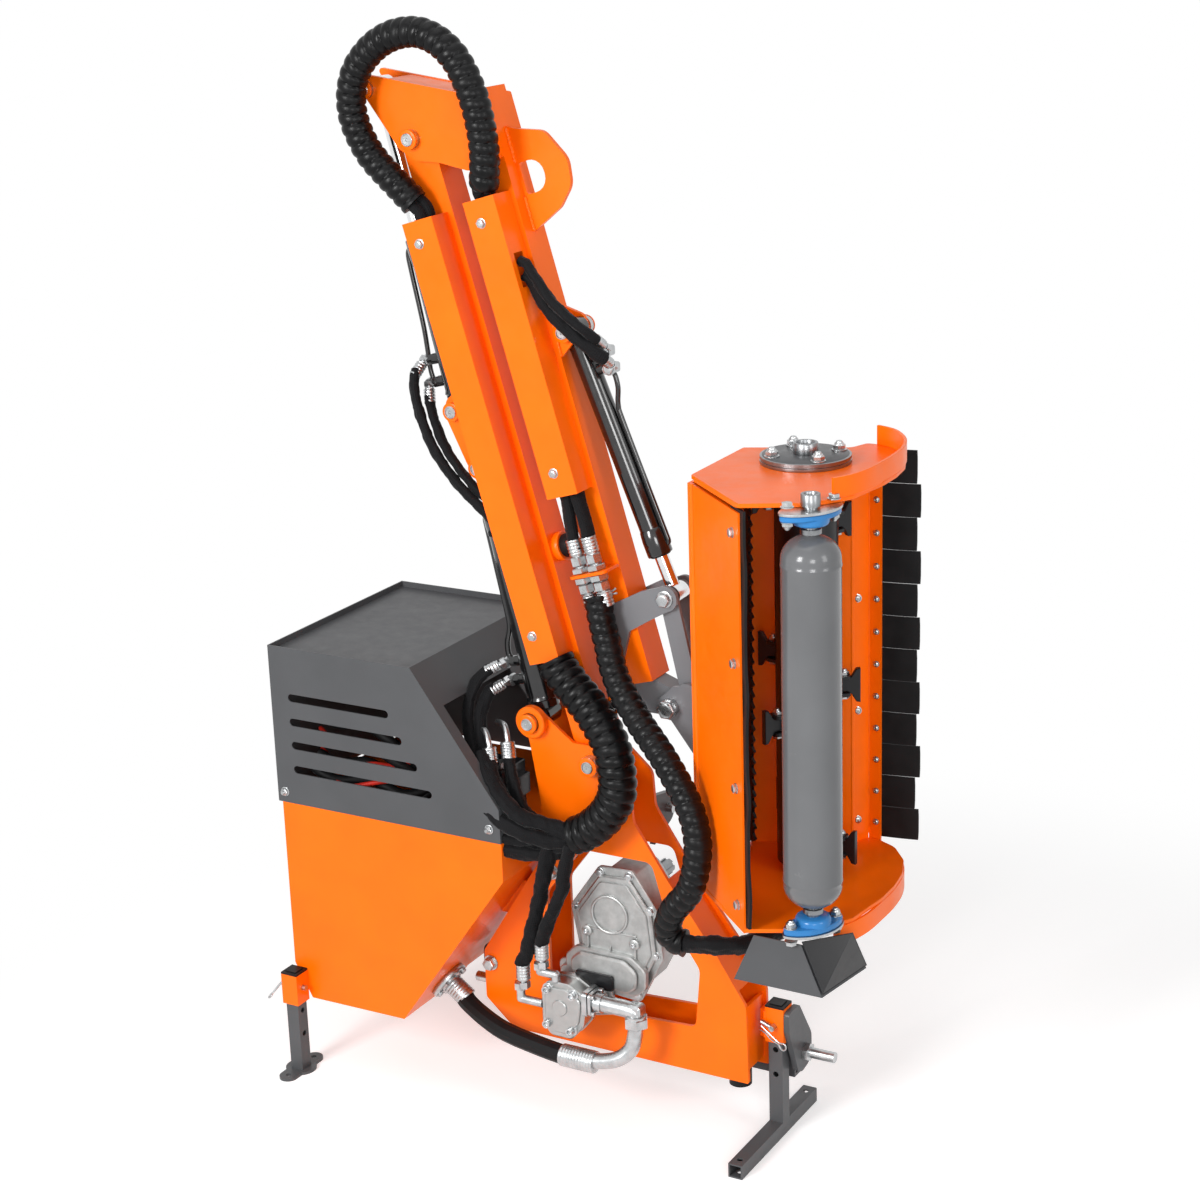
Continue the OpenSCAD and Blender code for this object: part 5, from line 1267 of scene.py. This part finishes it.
def curtain():
    e = (PANEL_LOW - PANEL_HIGH).normalized()
    up = Vector((-e.y, e.x))
    start = PANEL_LOW + up * 4.4 - e * 45
    rows, columns, length, width, thickness = 40, 10, 792, 59, 5

    def point(layer, j, i):
        # it bows a little between its bolts and curls at the free edge
        z, share = -396 + length * j / rows, i / columns
        bow = 1.6 * math.sin(z / 33) * share ** 2 + 2.6 * share ** 3 * noise.noise(Vector((z / 90, 3, 0)))
        p = start + e * (width * i / columns) + up * (layer * thickness + max(bow, -0.4 if i > 7 else 0))
        return on_head(*p, z)

    sheet = Piece("rubber_curtain", rubber_sheet, "head")
    thick_sheet(sheet, rows, columns, point, False)
    sheet.build(30, ["curtain"])


def front_flaps():
    flaps = Piece("rubber_flaps", rubber_sheet, "head")
    rows, columns = 4, 8
    for n in range(FLAPS):
        low = FLAP_START + n * FLAP_PITCH + 0.6
        high = FLAP_START + (n + 1) * FLAP_PITCH - 0.6
        # every other flap is shorter, and each leans a little differently
        reach = 92 - (n % 2) * 6 + 3 * noise.noise(Vector((n * 1.7, 0, 0)))
        lean = 0.16 + 0.03 * noise.noise(Vector((n * 2.3, 5, 0)))

        def point(layer, j, i):
            share = i / columns
            x = reach * share
            trim = 0.8 * share ** 8 * (1 if j in (0, rows) else 0)
            return on_head(56 + x - trim, 181.6 + layer * 3.2 + x * lean * (0.55 + 0.45 * share),
                           low + (high - low) * j / rows)

        thick_sheet(flaps, rows, columns, point, True)
    flaps.build(30, ["front_flaps"])


def rotor_parts():
    body = Piece("rotor_flails", black_paint, "rotor")
    nuts = Piece("rotor_bolts", zinc, "rotor")
    drum = HALF - END_T - 14
    shaft = HALF + 28
    body.add(*turned([(30, -drum), (59, 1 - drum), (60, 3 - drum), (60, drum - 3), (59, drum - 1),
                      (30, drum)], 40), HEAD)
    body.add(*turned([(17, -shaft), (17.5, 1 - shaft), (17.5, shaft - 1), (17, shaft), (6, shaft)], 32), HEAD)
    lug = rounded([(57, -18, 2), (82, -13, 9), (82, 13, 9), (57, 18, 2)])
    # hammer flail: narrow neck, flared cutting edge
    flail = [(-9, 56), (9, 56), (13, 62), (12, 76), (18, 84), (33, 93), (34, 101), (-34, 101), (-33, 93),
             (-18, 84), (-12, 76), (-13, 62)]
    upright = Matrix(((0, 1, 0, 0), (0, 0, 1, -6), (1, 0, 0, 0), (0, 0, 0, 1)))
    count, first = 12, 40 - drum
    for i in range(count):
        at = HEAD @ spin(i * 150) @ shift(0, 0, first - 2 * first * i / (count - 1))
        for z in (-17, 17):
            body.add(*prism(lug, z - 3.5, z + 3.5, 0.8), at)
        body.add(*prism(flail, 0, 12, 1.4), at @ upright)
        bolt(nuts, at @ shift(70, 0, 20.6), 10, False, "nut")
        bolt(nuts, at @ shift(70, 0, -20.6) @ UPSIDE_DOWN, 10, False, "hex")
    body.build(replaces=["rotor"])
    nuts.build()


def roller_parts():
    r, dome, shaft_r = 54.0, 44, 13.0
    at = HEAD @ shift(*ROLLER_AT, 0)
    low = -ROLLER_HALF
    # domed ends, a weld bead beside each, and the tube between them
    half = [(max(r * math.sin(a), shaft_r + 0.01 * k), low + dome - dome * math.cos(a))
            for k, a in ((k, math.radians(90 * k / 12)) for k in range(13))]
    half += [(r, low + 52), (r + 0.9, low + 53.5), (r + 0.9, low + 56), (r, low + 58)]
    shell = Piece("roller_shell", roller_paint, "roller")
    shell.add(*turned(half + [(a, -z) for a, z in reversed(half)], 64), at)
    shell.build(replaces=["roller"])
    ends = Piece("roller_shaft", steel, "roller")
    ends.add(*turned([(8, -HALF), (12.4, 0.6 - HALF), (12.5, 2 - HALF), (12.5, HALF + 6), (11.5, HALF + 7),
                      (8, HALF + 7)], 32), at)
    for side in (-1, 1):
        ends.add(*turned([(14, 0), (19, 0.3), (19, 9), (14, 9.4)], 32),
                 at @ shift(0, 0, side * (ROLLER_HALF + 6) - 4.7))
    # grease tube that stands on the upper bearing
    p, f = turned([(11.8, HALF - 4), (17.5, HALF - 4), (17.5, HALF + 17), (16.8, HALF + 18), (12.4, HALF + 18),
                   (11.8, HALF + 17), (11.8, HALF - 4)], 36)
    ends.add(p, f[:-2], at)
    ends.build()


def roller_bearings():
    blue = Piece("roller_bearing_castings", blue_paint, "head")
    plates = Piece("roller_bearing_plates", zinc, "head")
    nuts = Piece("roller_bearing_bolts", zinc, "head")
    # oval two-bolt flange: wide in the middle, narrower at both bolts
    oval = [(63.5 * c * (1 - 0.02 * d ** 2), 34 * d * (0.55 + 0.45 * abs(d) ** 0.6)) for c, d in disc(1, 48)]
    # heights from the end plate's inner face, which both bearings sit on
    at = shift(*ROLLER_AT, HALF - END_T) @ spin(60)
    for side in (1, -1):
        add_end(blue, prism(oval, -16.5, -5, 2.2), side, at)
        add_end(blue, turned([(27, -30), (31, -28), (33, -24), (34, -14), (30, -12)], 44), side, at)
        add_end(plates, prism([(x * 1.04, y * 1.1) for x, y in oval], -5, -0.4, 0.6), side, at)
        for x in (-49.5, 49.5):
            end_bolt(nuts, side, at @ shift(x, 0, -16.5) @ UPSIDE_DOWN, 11, "nut")
            end_bolt(nuts, side, at @ shift(x, 0, 8.2), 11, "hex")
        # grease nipple
        add_end(nuts, turned([(2, -30), (3.4, -29), (3.4, -22), (5, -21), (5, -14)], 14), side,
                at @ shift(12, 22, 0))
    blue.build(replaces=["roller_bearings"])
    plates.build()
    nuts.build()


def rotor_bearings():
    flange = Piece("rotor_flange_disc", steel, "head")
    face = Piece("rotor_flange_face", dark_paint, "head")
    caps = Piece("rotor_flange_bolts", zinc, "head")
    # heights from the end plate's outer face
    at = shift(0, 0, HALF)
    for side, r in ((1, 85), (-1, 70)):
        add_end(flange, turned([(30, 0.3), (r, 0.4), (r + 0.3, 1.4), (r + 0.3, 6.2), (r - 1.6, 7),
                                (r - 1.6, 8), (r, 8.8), (r, 14.4), (r - 1.2, 15), (30, 15)], 72), side, at)
        add_end(face, turned([(22, 15.2), (r - 4, 15.2), (r - 5, 15.9), (22, 15.9)], 64), side, at)
        for k in range(4):
            end_bolt(caps, side, at @ spin(45 + 90 * k) @ shift(66, 0, 15.9), 13, "nut")
    # collar round the shaft's upper end
    add_end(flange, turned([(17.6, 15), (23, 15), (23.4, 16), (23.4, 36), (22.4, 37.4), (18.4, 37.4),
                            (17.6, 36.4), (17.6, 24)], 40), 1, at)
    flange.build(replaces=["flange_bearing"])
    face.build()
    caps.build()


frame_parts()
inside_cover()
leg_parts()
boom_parts()
cylinder_parts()
dipper_pins()
bulkhead()
dipper_clip()
link_bolts()
end_plates()
hood_folds()
head_bolts()
counter_blade()
guard_painted_shade()
curtain()
front_flaps()
rotor_parts()
roller_parts()
roller_bearings()
rotor_bearings()
build_boss_rings()

# ---- camera, studio ----

def link(obj):
    bpy.context.scene.collection.objects.link(obj)
    return obj


def place_camera():
    data = bpy.data.cameras.new("camera")
    data.sensor_width, data.lens, data.clip_end = 36.0, 72.12, 60.0
    camera = link(bpy.data.objects.new("camera", data))
    bpy.context.scene.camera = camera
    azimuth, elevation, roll = (math.radians(a) for a in (30.17, 17.34, -1.93))
    right = Vector((math.cos(azimuth), math.sin(azimuth), 0))
    ahead = Vector((-math.sin(azimuth) * math.cos(elevation), math.cos(azimuth) * math.cos(elevation),
                    -math.sin(elevation)))
    down = ahead.cross(right)
    x = right * math.cos(roll) - down * math.sin(roll)
    y = right * math.sin(roll) + down * math.cos(roll)
    turn = Matrix((x, -y, -ahead)).transposed().to_4x4()
    camera.matrix_world = shift(1.8827, -3.8881, 2.4805) @ turn


def seen_directly(tree):
    """1 for what is seen straight, mirrored or through something, 0 where it only lights the scene."""
    path = put(tree, "ShaderNodeLightPath").outputs
    seen = path["Is Camera Ray"]
    for ray in ("Is Glossy Ray", "Is Transmission Ray"):
        seen = put(tree, "ShaderNodeMath", {"operation": "MAXIMUM"}, i0=seen, i1=path[ray]).outputs["Value"]
    return seen


def white_floor():
    """It fades to the plain white of the surround away from the machine, and keeps the shadow near it."""
    mat, tree = new_material("studio_floor")
    seen = seen_directly(tree)
    spot = put(tree, "ShaderNodeNewGeometry").outputs["Position"]
    away = put(tree, "ShaderNodeVectorMath", {"operation": "DISTANCE", 1: (0.0, 0.1, 0.0)}, i0=spot)
    fade = put(tree, "ShaderNodeMapRange",
               {"interpolation_type": "SMOOTHSTEP", "From Min": 0.9, "From Max": 2.0},
               Value=away.outputs["Value"])
    fade = put(tree, "ShaderNodeMath", {"operation": "MULTIPLY"}, i0=fade.outputs["Result"], i1=seen)
    lift = put(tree, "ShaderNodeMath", {"operation": "MULTIPLY", 1: 0.42}, i0=seen)
    diffuse = put(tree, "ShaderNodeBsdfDiffuse", {"Color": (0.8, 0.8, 0.8, 1)})
    glow = put(tree, "ShaderNodeEmission", {"Color": (1, 1, 1, 1)}, Strength=lift.outputs["Value"])
    near = put(tree, "ShaderNodeAddShader", None, i0=diffuse.outputs["BSDF"], i1=glow.outputs["Emission"])
    plain = put(tree, "ShaderNodeEmission", {"Color": (1, 1, 1, 1), "Strength": 1.0})
    surface = put(tree, "ShaderNodeMixShader", None, i0=fade.outputs["Value"], i1=near.outputs["Shader"],
                  i2=plain.outputs["Emission"])
    put(tree, "ShaderNodeOutputMaterial", None, Surface=surface.outputs["Shader"])
    mesh = bpy.data.meshes.new("floor")
    mesh.from_pydata([(-14, -14, 0), (14, -14, 0), (14, 14, 0), (-14, 14, 0)], [], [(0, 1, 2, 3)])
    mesh.materials.append(mat)
    floor = link(bpy.data.objects.new("floor", mesh))


def white_world():
    world = bpy.data.worlds.new("studio")
    bpy.context.scene.world = world
    world.use_nodes = True
    tree = world.node_tree
    tree.nodes.clear()
    fill, white = (put(tree, "ShaderNodeBackground", {"Color": (1, 1, 1, 1), "Strength": strength})
                   for strength in (0.4, 1.0))
    mix = put(tree, "ShaderNodeMixShader", None, i0=seen_directly(tree), i1=fill.outputs["Background"],
              i2=white.outputs["Background"])
    put(tree, "ShaderNodeOutputWorld", None, Surface=mix.outputs["Shader"])


def lamp(name, at, aim, size, power):
    data = bpy.data.lights.new(name, "AREA")
    data.shape = "RECTANGLE"
    data.size, data.size_y = size
    data.energy = power
    obj = link(bpy.data.objects.new(name, data))
    obj.location = at
    obj.rotation_euler = (Vector(aim) - Vector(at)).to_track_quat("-Z", "Y").to_euler()


place_camera()
white_floor()
white_world()
lamp("key", (-1.6, -5.2, 3.0), (-0.3, 0, 1.0), (1.6, 2.2), 250)
lamp("side", (4.2, -1.0, 2.6), (-0.2, 0, 0.9), (1.2, 2.4), 45)
lamp("front", (2.6, -4.2, 2.3), (0.0, 0, 1.0), (1.4, 1.4), 70)
lamp("top", (-0.4, -0.6, 5.0), (-0.3, 0, 0.8), (2.6, 2.6), 25)
bpy.context.scene.view_settings.view_transform = "Standard"
